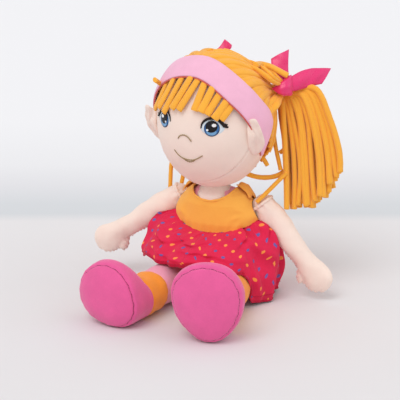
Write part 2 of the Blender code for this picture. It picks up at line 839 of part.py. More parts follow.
def bows():
    tables = ((1, "left", LEFT_TAILS), (-1, "right", RIGHT_TAILS))
    for side, name, tails in tables:
        out, front, across = gather_frame(side)
        waist = tie_place(side) - out * (GATHER_LENGTH * WAIST_SHARE)
        half = GATHER_LENGTH * WAIST_HALF_SHARE
        inner = TIE_RADIUS - RIBBON_CLOTH + GAP
        turn = cylinder(waist, out, inner + RIBBON_CLOTH, inner + RIBBON_CLOTH, 2 * half, 12, front)
        bow = make(f"bow_{name}", turn, "ribbon", neck_pivot())
        middle = waist + front * (inner + KNOT_HALF_DEPTH)
        boolean(bow, "UNION", helper(f"knot_{name}", knot_ball(middle, front, 0)))
        knot_room = helper(f"knot_room_{name}", knot_ball(middle, front, GAP))
        boolean(bpy.data.objects["hair_cap"], "DIFFERENCE", knot_room)
        for k, tail in enumerate(tails):
            points = [middle + offset(side * s, f, h) for s, f, h in tail]
            width_axis = (points[-1] - middle).cross(Y_AXIS).normalized()
            start = middle - front * (k * TAIL_STEP)
            strip = helper(f"tail_{name}_{k}", ribbon([start, *points], width_axis))
            boolean(bow, "UNION", strip)
        core = helper(f"waist_{name}", cylinder(waist, out, inner, inner, 4 * half, 12, front))
        boolean(bow, "DIFFERENCE", core)


def turn_head(pieces):
    """Turns everything on the head to the doll's right, about the neck."""
    pivot = neck_pivot()
    turn = Matrix.Rotation(math.radians(HEAD_TURN_DEG), 4, "Z")
    for piece in pieces:
        about_pivot = Matrix.Translation(pivot) @ turn @ Matrix.Translation(-pivot)
        piece.matrix_world = about_pivot @ piece.matrix_basis


# Arms


def arm_frame(side):
    shares = LEFT_ARM_DIRECTION_SHARES if side > 0 else RIGHT_ARM_DIRECTION_SHARES
    along = Vector(shares).normalized()
    thick = along.cross(Z_AXIS).normalized()
    wide = thick.cross(along).normalized()
    return along, wide, thick


def root_rings(pivot, along, wide, thick, radius, opening, count):
    """Rings from the opening round the back of a limb's rounded root."""
    first = math.asin(opening / radius)
    rings = []
    for k in range(3):
        angle = first + (math.pi / 2 - first) * k / 2
        centre = pivot - along * (radius * math.cos(angle))
        size = radius * math.sin(angle)
        rings.append(ellipse(centre, wide, thick, size, size, count))
    return rings


def arm_rings(side, inset, opening):
    pivot = shoulder_place(side)
    along, wide, thick = arm_frame(side)
    rings = root_rings(pivot, along, wide, thick, ARM_ROOT_RADIUS - inset, opening, ARM_SIDES)
    for distance, width_share, thick_share in ARM_SHARES:
        centre = pivot + along * (ARM_LENGTH * distance)
        half_width = ARM_RADIUS * width_share - inset
        half_thick = ARM_RADIUS * thick_share - inset
        rings.append(ellipse(centre, wide, thick, half_width, half_thick, ARM_SIDES))
    return rings, pivot + along * (ARM_LENGTH - inset)


def thumb_ball(side, inset):
    """The thumb, on the side of the hand that faces the body."""
    pivot = shoulder_place(side)
    along, wide, _ = arm_frame(side)
    root = pivot + along * (ARM_LENGTH * THUMB_SHARE) - wide * (ARM_RADIUS * THUMB_OUT_SHARE)
    radius = THUMB_RADIUS - inset
    bm = ball(Vector(), radius, radius, THUMB_LENGTH / 2 - inset, 8, 6)
    lean = (along * THUMB_LEAN_SHARE - wide).normalized()
    turn = lean.to_track_quat("Z", "Y").to_matrix().to_4x4()
    bmesh.ops.transform(bm, matrix=Matrix.Translation(root) @ turn, verts=bm.verts)
    return bm


def seam_patch(name, pivot, radius, normals, joint_material):
    """A curved piece of seam allowance over a limb's root, between two planes."""
    bm = round_ball(pivot, radius + GAP + SEAM_CLOTH)
    for normal in normals:
        keep_side(bm, pivot + normal * SEAM_MARGIN, normal)
    thicken(make(name, bm, joint_material, pivot), SEAM_CLOTH)


def arms():
    for side, name in ((1, "left"), (-1, "right")):
        pivot = shoulder_place(side)
        rings, tip = arm_rings(side, 0, ARM_OPENING_RADIUS)
        cover = make(f"arm_cover_{name}", loft(rings, mean(rings[0]), tip), "skin", pivot)
        boolean(cover, "UNION", helper(f"thumb_{name}", thumb_ball(side, 0)))
        rings, tip = arm_rings(side, COVER, ARM_OPENING_RADIUS)
        along, _, _ = arm_frame(side)
        mouth = [point - along * ARM_ROOT_RADIUS for point in rings[0]]
        hollow = helper(f"arm_inside_{name}", loft([mouth, *rings], mean(mouth), tip))
        boolean(cover, "DIFFERENCE", hollow)
        rings, tip = arm_rings(side, COVER + GAP, ARM_OPENING_RADIUS)
        make(f"arm_filling_{name}", loft(rings, mean(rings[0]), tip), "filling", pivot)
        limits = (ARM_LOWEST_SHARES, ARM_HIGHEST_SHARES)
        ends = [-offset(side * out, 0, up).normalized() for out, up in limits]
        seam_patch(f"shoulder_seam_{name}", pivot, ARM_ROOT_RADIUS, ends, "skin")


# Legs


def leg_frame(side):
    yaw = math.radians(LEFT_LEG_YAW_DEG if side > 0 else RIGHT_LEG_YAW_DEG)
    along = Vector((math.sin(yaw), -math.cos(yaw), 0.0))
    return along, Z_AXIS.cross(along).normalized()


def floor_flat(ring, height):
    """The ring with whatever lies below the height laid flat at it."""
    return [Vector((p.x, p.y, max(p.z, height))) for p in ring]


def leg_ring(side, distance, inset):
    pivot = hip_place(side)
    along, wide = leg_frame(side)
    swell = LEG_SWELL_SHARE if distance < CUFF_START else 1.0
    radius = LEG_RADIUS * swell - inset
    ring = ellipse(pivot + along * distance, wide, Z_AXIS, radius, radius, LEG_SIDES)
    return floor_flat(ring, inset)


def boot_ring(side, distance, grown, size, inset):
    """An outline of the foot: grown from 0, the ankle's circle, to 1, the egg of the sole."""
    pivot = hip_place(side)
    along, wide = leg_frame(side)
    roll = math.radians(LEFT_BOOT_ROLL_DEG if side > 0 else RIGHT_BOOT_ROLL_DEG)
    centre = pivot + along * distance
    rise = BOOT_HALF_HEIGHT - HIP_HEIGHT
    ring = []
    for angle in circle_angles(LEG_SIDES):
        circle = Vector((math.cos(angle), math.sin(angle))) * LEG_RADIUS
        taper = 1 + BOOT_EGG_SHARE * math.sin(angle)
        egg = Vector(
            (
                BOOT_HALF_WIDTH * size * taper * math.cos(angle),
                rise + BOOT_HALF_HEIGHT * size * math.sin(angle),
            )
        )
        point = circle.lerp(egg, grown)
        middle = Vector((0.0, rise * grown))
        out = point - middle
        point = middle + out * max(0.0, 1 - inset / out.length)
        across = point.x * math.cos(roll) + point.y * math.sin(roll)
        up = -point.x * math.sin(roll) + point.y * math.cos(roll)
        ring.append(centre + wide * across + Z_AXIS * up)
    return floor_flat(ring, inset)


def boot_tip(side, inset):
    along, wide = leg_frame(side)
    roll = math.radians(LEFT_BOOT_ROLL_DEG if side > 0 else RIGHT_BOOT_ROLL_DEG)
    rise = BOOT_HALF_HEIGHT - HIP_HEIGHT
    lean = wide * (rise * math.sin(roll)) + Z_AXIS * (rise * math.cos(roll))
    return hip_place(side) + along * (LEG_LENGTH - inset) + lean


def upper_rings(side, start, end, inset):
    rings = [boot_ring(side, start, 0.0, 1.0, inset)]
    for share, grown in BOOT_UPPER_SHARES:
        rings.append(boot_ring(side, BOOT_START + BOOT_UPPER_LENGTH * share, grown, 1.0, inset))
    rings.append(boot_ring(side, end, 1.0, BOOT_SEAM_SHARE, inset))
    return rings


def sole_rings(side, start, inset):
    rings = [boot_ring(side, start, 1.0, BOOT_SEAM_SHARE, inset)]
    for share, size in BOOT_SOLE_SHARES:
        distance = SOLE_START + (BOOT_SOLE_LENGTH - inset) * share
        rings.append(boot_ring(side, distance, 1.0, size, inset))
    return rings


def leg_root_rings(side, inset):
    pivot = hip_place(side)
    along, wide = leg_frame(side)
    rings = root_rings(
        pivot, along, wide, Z_AXIS, LEG_ROOT_RADIUS - inset, ARM_OPENING_RADIUS, LEG_SIDES
    )
    return [floor_flat(ring, inset) for ring in rings]


def leg_pieces(side):
    """The runs of rings of a leg's sewn pieces, from root to toe, for any inset."""
    half_gap = GAP / 2

    def tube(*stops):
        return lambda inset: [leg_ring(side, stop, inset) for stop in stops]

    knee = [LEG_COVER_LENGTH * share for share in LEG_STATION_SHARES]
    shin = [CUFF_START + CUFF_LENGTH * share for share in CUFF_STATION_SHARES]

    def leg(inset):
        return leg_root_rings(side, inset) + tube(*knee, CUFF_START - half_gap)(inset)

    def upper(inset):
        return upper_rings(side, BOOT_START + half_gap, SOLE_START - half_gap, inset)

    return (
        ("leg_cover", "pink_cloth", leg),
        ("cuff", "cuff_cloth", tube(CUFF_START + half_gap, *shin, BOOT_START - half_gap)),
        ("boot_upper", "boot_cloth", upper),
    )


def legs():
    for side, name in ((1, "left"), (-1, "right")):
        pivot = hip_place(side)
        inset = COVER + 2 * GAP
        rings = []
        for piece, cloth, run in leg_pieces(side):
            make(f"{piece}_{name}", sleeve(run(0), run(COVER)), cloth, pivot)
            rings += run(inset)
        start = SOLE_START + GAP / 2
        outer, inner = (sole_rings(side, start, depth) for depth in (0, COVER))
        sole = cup(outer, inner, boot_tip(side, 0), boot_tip(side, COVER))
        make(f"boot_sole_{name}", sole, "boot_cloth", pivot)
        rings += sole_rings(side, start, inset)
        filling = loft(rings, mean(rings[0]), boot_tip(side, inset))
        make(f"leg_filling_{name}", filling, "filling", pivot)
        along, _ = leg_frame(side)
        seam_patch(f"hip_seam_{name}", pivot, LEG_ROOT_RADIUS, (-along, Z_AXIS), "pink_cloth")


# Dress


def seam_height(y):
    """The height of the seam between yoke and skirt, which dips to the front."""
    centre = place(0, TORSO_LEAN * YOKE_SEAM_HEIGHT / TORSO_HEIGHT, YOKE_SEAM_HEIGHT)
    return centre.z + YOKE_SEAM_SLOPE_SHARE * (y - centre.y)


def below_seam():
    """Everything under the seam between yoke and skirt."""
    far = 4 * TORSO_HALF_DEPTH
    outline = [(y, seam_height(y) + GAP / 2) for y in (-far, far)] + [(far, -far), (-far, -far)]
    rings = [[Vector((x, y, z)) for y, z in outline] for x in (-far, far)]
    return helper("yoke_seam_cutter", closed_loft(rings))


def neckline():
    centre = place(0, NECKLINE_FORWARD, TORSO_HEIGHT)
    opening = cylinder(
        centre, Z_AXIS, NECKLINE_HALF_WIDTH, NECKLINE_HALF_DEPTH, TORSO_HEIGHT / 2, 24, X_AXIS
    )
    return helper("neckline_cutter", opening)


def strap_middle():
    """How far forward the front of the dress is sewn to its back."""
    return TORSO_LEAN - TAB_LENGTH / 2


def yoke():
    cutters = [below_seam(), neckline()]
    for side, name in ((1, "left"), (-1, "right")):
        armhole = round_ball(shoulder_place(side), ARMHOLE_RADIUS, 16, 10)
        cutters.append(helper(f"armhole_{name}", armhole))
    hollow = helper("yoke_inside", closed_loft(torso_rings(DRESS_CLOTH - YOKE_EASE)))
    depth = 4 * TORSO_HALF_DEPTH
    for name, way in (("front", 1), ("back", -1)):
        panel = closed_loft(torso_rings(-YOKE_EASE))
        panel = make(f"dress_yoke_{name}", panel, "yoke_cloth")
        boolean(panel, "DIFFERENCE", hollow, *cutters)
        middle = place(0, strap_middle() + way * (depth + GAP) / 2, TORSO_HEIGHT)
        half = helper(f"yoke_half_{name}", slab(middle, (depth, depth, depth)))
        boolean(panel, "INTERSECT", half)


def shoulder_tabs():
    """Each tab laps the front strap over the back one, on top of the shoulder."""
    lift = YOKE_EASE + GAP
    outer = helper("tab_outside", closed_loft(torso_rings(-lift - DRESS_CLOTH)))
    inner = helper("tab_inside", closed_loft(torso_rings(-lift)))
    for side, name in ((1, "left"), (-1, "right")):
        across = side * (NECKLINE_HALF_WIDTH + TAB_WIDTH / 2 + GAP)
        middle = place(across, strap_middle(), TORSO_HEIGHT)
        block = slab(middle, (TAB_WIDTH, TAB_LENGTH, TORSO_HEIGHT))
        tab = make(f"shoulder_tab_{name}", block, "yoke_cloth")
        boolean(tab, "INTERSECT", outer)
        boolean(tab, "DIFFERENCE", inner, bpy.data.objects[f"armhole_{name}"])


def smooth_between(table, value):
    """The table's value, eased between its entries."""
    for (low, first), (high, second) in zip(table, table[1:]):
        if value <= high:
            share = (value - low) / (high - low)
            ease = share * share * (3 - 2 * share)
            return first + (second - first) * ease
    return table[-1][1]


def torso_half(height):
    """Half width, half depth and middle of the torso at a height."""
    share = height / TORSO_HEIGHT
    widths = [(s, w) for s, w, _ in TORSO_SHARES]
    depths = [(s, d) for s, _, d in TORSO_SHARES]
    half_width = TORSO_HALF_WIDTH * smooth_between(widths, share)
    half_depth = TORSO_HALF_DEPTH * smooth_between(depths, share)
    return half_width, half_depth, place(0, TORSO_LEAN * share, height)


def pressed(point, start, along, length, clearance):
    """The point, moved off a limb that rests on the cloth."""
    distance = min(max((point - start).dot(along), 0.0), length)
    middle = start + along * distance
    away = point - middle
    return middle + away.normalized() * max(away.length, clearance)


def skirt_point(angle, level):
    """A point of the skirt: the angle runs from the front to the doll's left, and level down."""
    half_width, half_depth, middle = torso_half(YOKE_SEAM_HEIGHT - GAP)
    out = Vector((math.sin(angle), -math.cos(angle), 0.0))
    rim = YOKE_EASE + GAP
    top = middle + Vector((out.x * (half_width + rim), out.y * (half_depth + rim), 0.0))
    top.z = seam_height(top.y) - GAP
    hem_height = smooth_between(HEM_HEIGHTS_DEG, math.degrees(angle))
    hem = place(SKIRT_SIDEWAYS, SKIRT_FORWARD, hem_height)
    hem.x += out.x * (SKIRT_HALF_WIDTH - SKIRT_TUCK)
    hem.y += out.y * (SKIRT_HALF_DEPTH - SKIRT_TUCK)
    puffed = top + out * SKIRT_PUFF
    belly = out * (SKIRT_BELLY_TUCKS * SKIRT_TUCK)
    hanging = hem + belly + Z_AXIS * ((top.z - hem.z) * SKIRT_BELLY_SHARE)
    t = level
    point = (
        top * (1 - t) ** 3
        + puffed * (3 * t * (1 - t) ** 2)
        + hanging * (3 * t * t * (1 - t))
        + hem * t**3
    )
    slow = math.cos(SKIRT_SLOW_FOLDS * angle + SKIRT_SLOW_FOLD_TURN)
    fold = math.cos(SKIRT_FOLDS * angle) + SKIRT_SLOW_FOLD_SHARE * slow
    point = point + out * (SKIRT_FOLD_DEPTH * fold * math.sin(math.pi / 2 * min(1.0, 2 * t)))
    if t == 0:
        return point
    for side in (1, -1):
        along, _, _ = arm_frame(side)
        room = ARM_RADIUS + 3 * GAP
        point = pressed(point, shoulder_place(side), along, ARM_LENGTH, room)
        along, _ = leg_frame(side)
        room = LEG_RADIUS + DRESS_CLOTH + 3 * GAP
        point = pressed(point, hip_place(side), along, LEG_LENGTH, room)
    return point


def skirt():
    angles = [a - math.pi for a in circle_angles(SKIRT_SIDES)]
    rings = [
        [skirt_point(angle, level / SKIRT_LEVELS) for angle in angles]
        for level in range(SKIRT_LEVELS + 1)
    ]
    thicken(make("skirt", loft(rings), "skirt_cloth"), DRESS_CLOTH)


def main():
    clear_scene()
    torso()
    neck()
    body = set(bpy.data.objects)
    head()
    face()
    ears()
    headband()
    hair_cap()
    fringe()
    pigtails()
    bows()
    turn_head([piece for piece in bpy.data.objects if piece not in body])
    arms()
    legs()
    yoke()
    shoulder_tabs()
    skirt()


main()
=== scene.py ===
"""Looks of the seated rag doll. Metres, +Z up; the doll faces -Y and its own left side is +X."""

import math

import bmesh
import bpy
from mathutils import Matrix, Vector, noise


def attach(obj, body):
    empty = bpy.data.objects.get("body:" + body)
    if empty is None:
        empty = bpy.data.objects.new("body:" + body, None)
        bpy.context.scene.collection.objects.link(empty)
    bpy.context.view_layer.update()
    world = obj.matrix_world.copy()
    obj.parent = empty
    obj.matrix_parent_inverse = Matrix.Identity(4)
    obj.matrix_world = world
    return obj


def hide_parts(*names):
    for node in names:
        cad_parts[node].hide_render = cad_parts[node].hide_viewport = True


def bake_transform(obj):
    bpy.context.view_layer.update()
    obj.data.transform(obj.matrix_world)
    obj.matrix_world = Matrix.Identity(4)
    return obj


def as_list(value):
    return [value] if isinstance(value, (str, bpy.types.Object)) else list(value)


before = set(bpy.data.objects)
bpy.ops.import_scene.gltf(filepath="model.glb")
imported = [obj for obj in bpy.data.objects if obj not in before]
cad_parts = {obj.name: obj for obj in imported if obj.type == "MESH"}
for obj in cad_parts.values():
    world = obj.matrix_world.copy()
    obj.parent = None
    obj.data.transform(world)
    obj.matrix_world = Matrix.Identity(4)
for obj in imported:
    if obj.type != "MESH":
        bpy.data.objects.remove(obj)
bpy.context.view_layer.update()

X, Y, Z = Vector((1, 0, 0)), Vector((0, 1, 0)), Vector((0, 0, 1))
SIDES = ((1, "left"), (-1, "right"))
FULL_TURN = 2 * math.pi


# Camera, at the photograph's angle

PICTURE_SIZE = 400
CAMERA_TURN = math.radians(26.0)
CAMERA_RISE = math.radians(16.0)
CAMERA_TARGET = Vector((-0.018, -0.008, 0.070))
CAMERA_DISTANCE = 1.0
CAMERA_LENS = 112.5
CAMERA_SENSOR = 36.0


def aimed(turn, rise):
    """The way from the doll to what looks at it, turned from its front and raised."""
    return Vector((math.sin(turn) * math.cos(rise), -math.cos(turn) * math.cos(rise), math.sin(rise)))


def linked(name, data, back=None):
    """A new object of the scene; a camera or lamp looks the other way than back."""
    obj = bpy.data.objects.new(name, data)
    bpy.context.collection.objects.link(obj)
    if back:
        obj.rotation_euler = (-back).to_track_quat("-Z", "Y").to_euler()
    return obj


camera_back = aimed(CAMERA_TURN, CAMERA_RISE)
camera_place = CAMERA_TARGET + camera_back * CAMERA_DISTANCE
camera_right = Vector((math.cos(CAMERA_TURN), math.sin(CAMERA_TURN), 0.0))
camera_up = camera_back.cross(camera_right)

camera_data = bpy.data.cameras.new("camera")
camera_data.lens = CAMERA_LENS
camera_data.sensor_width = CAMERA_SENSOR
camera = linked("camera", camera_data, camera_back)
camera.location = camera_place
bpy.context.scene.camera = camera


def picture_ray(x, y):
    scale = CAMERA_SENSOR / (CAMERA_LENS * PICTURE_SIZE)
    middle = PICTURE_SIZE / 2
    return camera_right * ((x - middle) * scale) + camera_up * ((middle - y) * scale) - camera_back


def seen(x, y, through, facing=camera_back):
    """The point at a place in the picture, on the plane through a point that faces a way."""
    ray = picture_ray(x, y)
    return camera_place + ray * ((through - camera_place).dot(facing) / ray.dot(facing))


# Numbers and points


def place(sideways, forward, height):
    return Vector((sideways, -forward, height))


def ease(low, high, value):
    t = min(max((value - low) / (high - low), 0.0), 1.0)
    return t * t * (3 - 2 * t)


def bell(value, width):
    return math.exp(-((value / width) ** 2))


def chance(*keys):
    """A fixed number from 0 to 1 for the keys."""
    value = math.sin(sum(k * w for k, w in zip(keys, (12.9898, 78.233, 37.719, 9.151)))) * 43758.5453
    return value - math.floor(value)


def rough(point, size, seed=0.0):
    """Smooth noise from -1 to 1 with bumps of about the given size."""
    return noise.noise(Vector(point) / size + Vector((seed, seed * 1.7, -seed)))


def times(a, b):
    return Vector([p * q for p, q in zip(a, b)])


def over(a, b):
    return Vector([p / q for p, q in zip(a, b)])


def mean(points):
    return sum(points, Vector()) / len(points)


def parts(count, low=0.0, high=FULL_TURN):
    """Values that split a span, a full turn if none is given, without its end."""
    return [low + (high - low) * k / count for k in range(count)]


def steps(count, low=0.0, high=1.0):
    """Values along a span, with both ends."""
    return [low + (high - low) * k / (count - 1) for k in range(count)]


def wheel(side, up, angle):
    return side * math.cos(angle) + up * math.sin(angle)


def ellipse(centre, side, up, half_side, half_up, count):
    return [centre + side * (half_side * math.cos(a)) + up * (half_up * math.sin(a)) for a in parts(count)]


def around(axis):
    side = axis.orthogonal().normalized()
    return side, axis.cross(side).normalized()


def upward(vector):
    return vector if vector.z > 0 else -vector


def neighbours(points, k):
    """The step from the point before to the point after."""
    return points[min(k + 1, len(points) - 1)] - points[max(k - 1, 0)]


def spline(points, count):
    """Points on a smooth line through the given ones, count of them to a part."""
    out = []
    last = len(points) - 1
    for k in range(last):
        a, b, c, d = (points[min(max(k + j, 0), last)] for j in (-1, 0, 1, 2))
        for step in range(count):
            t = step / count
            bend = (a * 2 - b * 5 + c * 4 - d) * t * t + (b * 3 - a - c * 3 + d) * t**3
            out.append((b * 2 + (c - a) * t + bend) * 0.5)
    out.append(points[-1])
    return out


def between(values, share):
    """A value from a run of numbers, a share of the way along it."""
    at = share * (len(values) - 1)
    k = min(int(at), len(values) - 2)
    return values[k] + (values[k + 1] - values[k]) * (at - k)


def distances(points):
    """How far along the points each of them lies."""
    reach = [0.0]
    for a, b in zip(points, points[1:]):
        reach.append(reach[-1] + (b - a).length)
    return reach


# Meshes


class Shape:
    """Vertices, faces and a UV for each vertex, gathered into one mesh."""

    def __init__(self):
        self.verts = []
        self.uvs = []
        self.faces = []

    def rows(self, rows, closed=True, start=None, end=None, uvs=None):
        """A skin over rows of points, each row a ring if closed; start and end are tips."""
        first = len(self.verts)
        count = len(rows[0])
        for r, row in enumerate(rows):
            self.verts += row
            self.uvs += uvs[r] if uvs else [(k / count, r / len(rows)) for k in range(count)]
        for r in range(len(rows) - 1):
            for k in range(count if closed else count - 1):
                m = (k + 1) % count
                a, b = first + r * count, first + (r + 1) * count
                self.faces.append((a + k, a + m, b + m, b + k))
        for tip, row in ((start, 0), (end, len(rows) - 1)):
            if tip is None:
                continue
            middle = len(self.verts)
            base = first + row * count
            self.verts.append(tip)
            self.uvs.append(self.uvs[base])
            for k in range(count):
                m = (k + 1) % count
                self.faces.append((base + k, base + m, middle) if row else (base + m, base + k, middle))

    def capped(self, rows, uvs=None):
        self.rows(rows, True, mean(rows[0]), mean(rows[-1]), uvs)

    def cord(self, path, wide, deep, sides=8, normals=None, key=0, taper=None, knit=0.0, smooth=0):
        """A soft cord with cut ends along the path; wide and deep are its half sizes."""
        path = spline(path, smooth) if smooth else path
        rows, uvs, run = [], [], 0.0
        normal = None
        last = len(path) - 1
        for k, point in enumerate(path):
            along = neighbours(path, k).normalized()
            if normals:
                normal = normals[k]
            elif normal is None:
                normal = along.orthogonal()
            side = normal.cross(along).normalized()
            normal = along.cross(side).normalized()
            size = taper(k / last) if taper else 1.0
            size *= 1 + knit * rough((run, key * 3.1, 0), 0.004)
            run += (path[min(k + 1, last)] - point).length
            stops = [(0.0, 1.0)]
            if k == 0:
                stops = [(-0.0004, 0.55), (-0.0003, 0.90), (0.0, 1.0)]
            if k == last:
                stops = [(0.0, 1.0), (0.0003, 0.90), (0.0004, 0.55)]
            for step, share in stops:
                middle = point + along * step
                rows.append(ellipse(middle, side, normal, wide * size * share, deep * size * share, sides))
                uvs.append([(key * 0.37 + n / sides * 0.02, run) for n in range(sides)])
        self.capped(rows, uvs)

    def make(self, name, material, turned=False):
        mesh = bpy.data.meshes.new(name)
        move = HEAD_TURN if turned else Matrix()
        mesh.from_pydata([move @ Vector(v) for v in self.verts], [], self.faces)
        layer = mesh.uv_layers.new(name="cut")
        for loop in mesh.loops:
            layer.data[loop.index].uv = self.uvs[loop.vertex_index]
        mesh.materials.append(material)
        mesh.update()
        bm = open_mesh(mesh)
        bmesh.ops.recalc_face_normals(bm, faces=bm.faces)
        close_mesh(bm, mesh)
        mesh.shade_smooth()
        return linked(name, mesh)


def skin_over(name, material, rows, tips=None, turned=False):
    """One closed piece over rings of points, with a tip at each end."""
    shape = Shape()
    shape.rows(rows, True, *(tips or (mean(rows[0]), mean(rows[-1]))))
    return shape.make(name, material, turned)


def sheet_over(name, material, rows, thickness, turned=False, uvs=None):
    """An open sheet over rows of points, made as thick as its cloth."""
    shape = Shape()
    shape.rows(rows, False, uvs=uvs)
    return thicken(shape.make(name, material, turned), thickness)


def open_mesh(mesh):
    bm = bmesh.new()
    bm.from_mesh(mesh)
    return bm


def close_mesh(bm, mesh):
    bm.to_mesh(mesh)
    bm.free()


def settle(obj):
    """Applies the object's modifiers."""
    graph = bpy.context.evaluated_depsgraph_get()
    mesh = bpy.data.meshes.new_from_object(obj.evaluated_get(graph))
    mesh.name = obj.name
    obj.modifiers.clear()
    obj.data = mesh
    mesh.shade_smooth()
    return obj


def cut_away(obj, *others):
    for other in others:
        modifier = obj.modifiers.new(other.name, "BOOLEAN")
        modifier.operation = "DIFFERENCE"
        modifier.solver = "EXACT"
        modifier.object = other
    settle(obj)
    for other in others:
        bpy.data.objects.remove(other, do_unlink=True)


def thicken(obj, thickness):
    modifier = obj.modifiers.new("cloth", "SOLIDIFY")
    modifier.thickness = thickness
    modifier.offset = -1.0
    return settle(obj)


def fused(obj, voxel):
    modifier = obj.modifiers.new("one skin", "REMESH")
    modifier.mode = "VOXEL"
    modifier.voxel_size = voxel
    return settle(obj)


def smooth_verts(obj, rounds):
    """Evens out the mesh, with its open edges left where they are."""
    bm = open_mesh(obj.data)
    for _ in range(rounds):
        inner = [v for v in bm.verts if not v.is_boundary]
        bmesh.ops.smooth_vert(bm, verts=inner, factor=0.5, use_axis_x=True, use_axis_y=True, use_axis_z=True)
    close_mesh(bm, obj.data)


def push(obj, move):
    """Moves each vertex by what move gives for its place and normal."""
    mesh = obj.data
    moves = [move(v.co, v.normal) for v in mesh.vertices]
    for v, step in zip(mesh.vertices, moves):
        v.co = v.co + step
    mesh.update()


def keep_side(bm, point, normal):
    """Keeps what lies on the side of the plane that its normal points at."""
    geometry = bm.verts[:] + bm.edges[:] + bm.faces[:]
    return bmesh.ops.bisect_plane(
        bm, geom=geometry, dist=1e-7, plane_co=point, plane_no=normal, clear_inner=True
    )


def finished(obj, body, slot, nodes=()):
    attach(obj, body)
    if nodes:
        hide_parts(*nodes)
    return obj


# Materials


def rgb(red, green, blue):
    """The linear colour of a screen colour from 0 to 255."""
    def linear(value):
        value /= 255
        return value / 12.92 if value <= 0.04045 else ((value + 0.055) / 1.055) ** 2.4

    return tuple(linear(v) for v in (red, green, blue))


class Tree:
    """A material's nodes. A link is an output socket, and anything else is a socket's value."""

    def __init__(self, name):
        self.material = bpy.data.materials.new(name)
        self.material.use_nodes = True
        self.tree = self.material.node_tree
        self.shader = self.tree.nodes["Principled BSDF"]
        self.places = self.tree.nodes.new("ShaderNodeTexCoord").outputs

    def set(self, node, key, value):
        socket = node.inputs[key]
        if isinstance(value, bpy.types.NodeSocket):
            self.tree.links.new(value, socket)
        else:
            socket.default_value = value

    def surface(self, **values):
        for key, value in values.items():
            self.set(self.shader, key.replace("_", " "), value)

    def add(self, kind, inputs=(), out=0, **settings):
        node = self.tree.nodes.new(kind)
        for key, value in settings.items():
            setattr(node, key, value)
        for key, value in dict(inputs).items():
            self.set(node, key, value)
        return node.outputs[out]

    def math(self, operation, a, b=0.0):
        return self.add("ShaderNodeMath", {0: a, 1: b}, operation=operation)

    def vector(self, operation, inputs, out=0):
        return self.add("ShaderNodeVectorMath", inputs, out, operation=operation)

    def apart(self, vector):
        """The three outputs of a vector's parts."""
        node = self.tree.nodes.new("ShaderNodeSeparateXYZ")
        self.set(node, 0, vector)
        return node.outputs

    def noise(self, place_, scale, detail=2.0):
        return self.add("ShaderNodeTexNoise", {"Vector": place_, "Scale": scale, "Detail": detail})

    def mix(self, share, a, b):
        a, b = (c if isinstance(c, bpy.types.NodeSocket) else (*c, 1.0) for c in (a, b))
        return self.add("ShaderNodeMix", {0: share, 6: a, 7: b}, 2, data_type="RGBA")

    def span(self, value, low, high, to_low=0.0, to_high=1.0):
        inputs = {0: value, 1: low, 2: high, 3: to_low, 4: to_high}
        return self.add("ShaderNodeMapRange", inputs)

    def weave(self, place_, pitch):
        """A height that rises and falls with crossing threads, whatever way the cloth faces."""
        scaled_ = self.vector("SCALE", {0: place_, 3: FULL_TURN / pitch})
        x, y, z = self.apart(self.vector("SINE", {0: scaled_}))
        xy, yz, zx = (self.math("MULTIPLY", a, b) for a, b in ((x, y), (y, z), (z, x)))
        return self.math("ADD", self.math("ADD", xy, yz), zx)


def shades(colour, low, high):
    return tuple(c * low for c in colour), tuple(min(1.0, c * high) for c in colour)


FIBRE_SIZE = 0.0011
LUMP_SIZE = 0.006
BUMP_DEPTH = 0.00025


def cloth(
    name, colour, roughness=0.85, sheen=0.2, pitch=0.0007, bump=0.30,
    mottle=0.06, patch_=0.012, specular=0.25, dots=False, cords=False, shine=0.0,
):
    """Woven or knitted cloth: threads, fuzz, and colour that wanders a little."""
    t = Tree(name)
    colour = rgb(*colour)
    place_, cut = t.places["Object"], t.places["UV"]
    dark, light = shades(colour, 1 - mottle, 1 + mottle)
    wander = t.noise(cut if cords else place_, 1.3 if cords else 1 / patch_, 3.0)
    base = t.mix(t.span(wander, 0.3, 0.7), dark, light)
    fibre = t.noise(place_, 1 / FIBRE_SIZE)
    shade = t.math("MULTIPLY", t.span(fibre, 0.35, 0.65), mottle * 2)
    base = t.mix(shade, base, shades(colour, 0.72, 1)[0])
    if dots:
        base = dotted(t, cut, base)
    height = t.math("MULTIPLY", t.weave(place_, pitch), 0.5)
    height = t.math("ADD", height, t.math("MULTIPLY", fibre, 1.1))
    height = t.math("ADD", height, t.math("MULTIPLY", t.noise(place_, 1 / LUMP_SIZE), 2.0))
    t.surface(
        Base_Color=base,
        Normal=t.add("ShaderNodeBump", {"Strength": bump, "Distance": BUMP_DEPTH, "Height": height}),
        Roughness=t.span(fibre, 0.2, 0.8, roughness - 0.06, min(1.0, roughness + 0.06)),
        Specular_IOR_Level=specular,
        Sheen_Weight=sheen,
        Sheen_Roughness=0.45,
        Anisotropic=shine,
    )
    return t.material


DOT_PITCH = 0.0098
DOT_RADIUS = 0.00140
DOT_COLOURS = ((255, 160, 75), (98, 100, 172))
DOT_SOFTNESS = 0.025


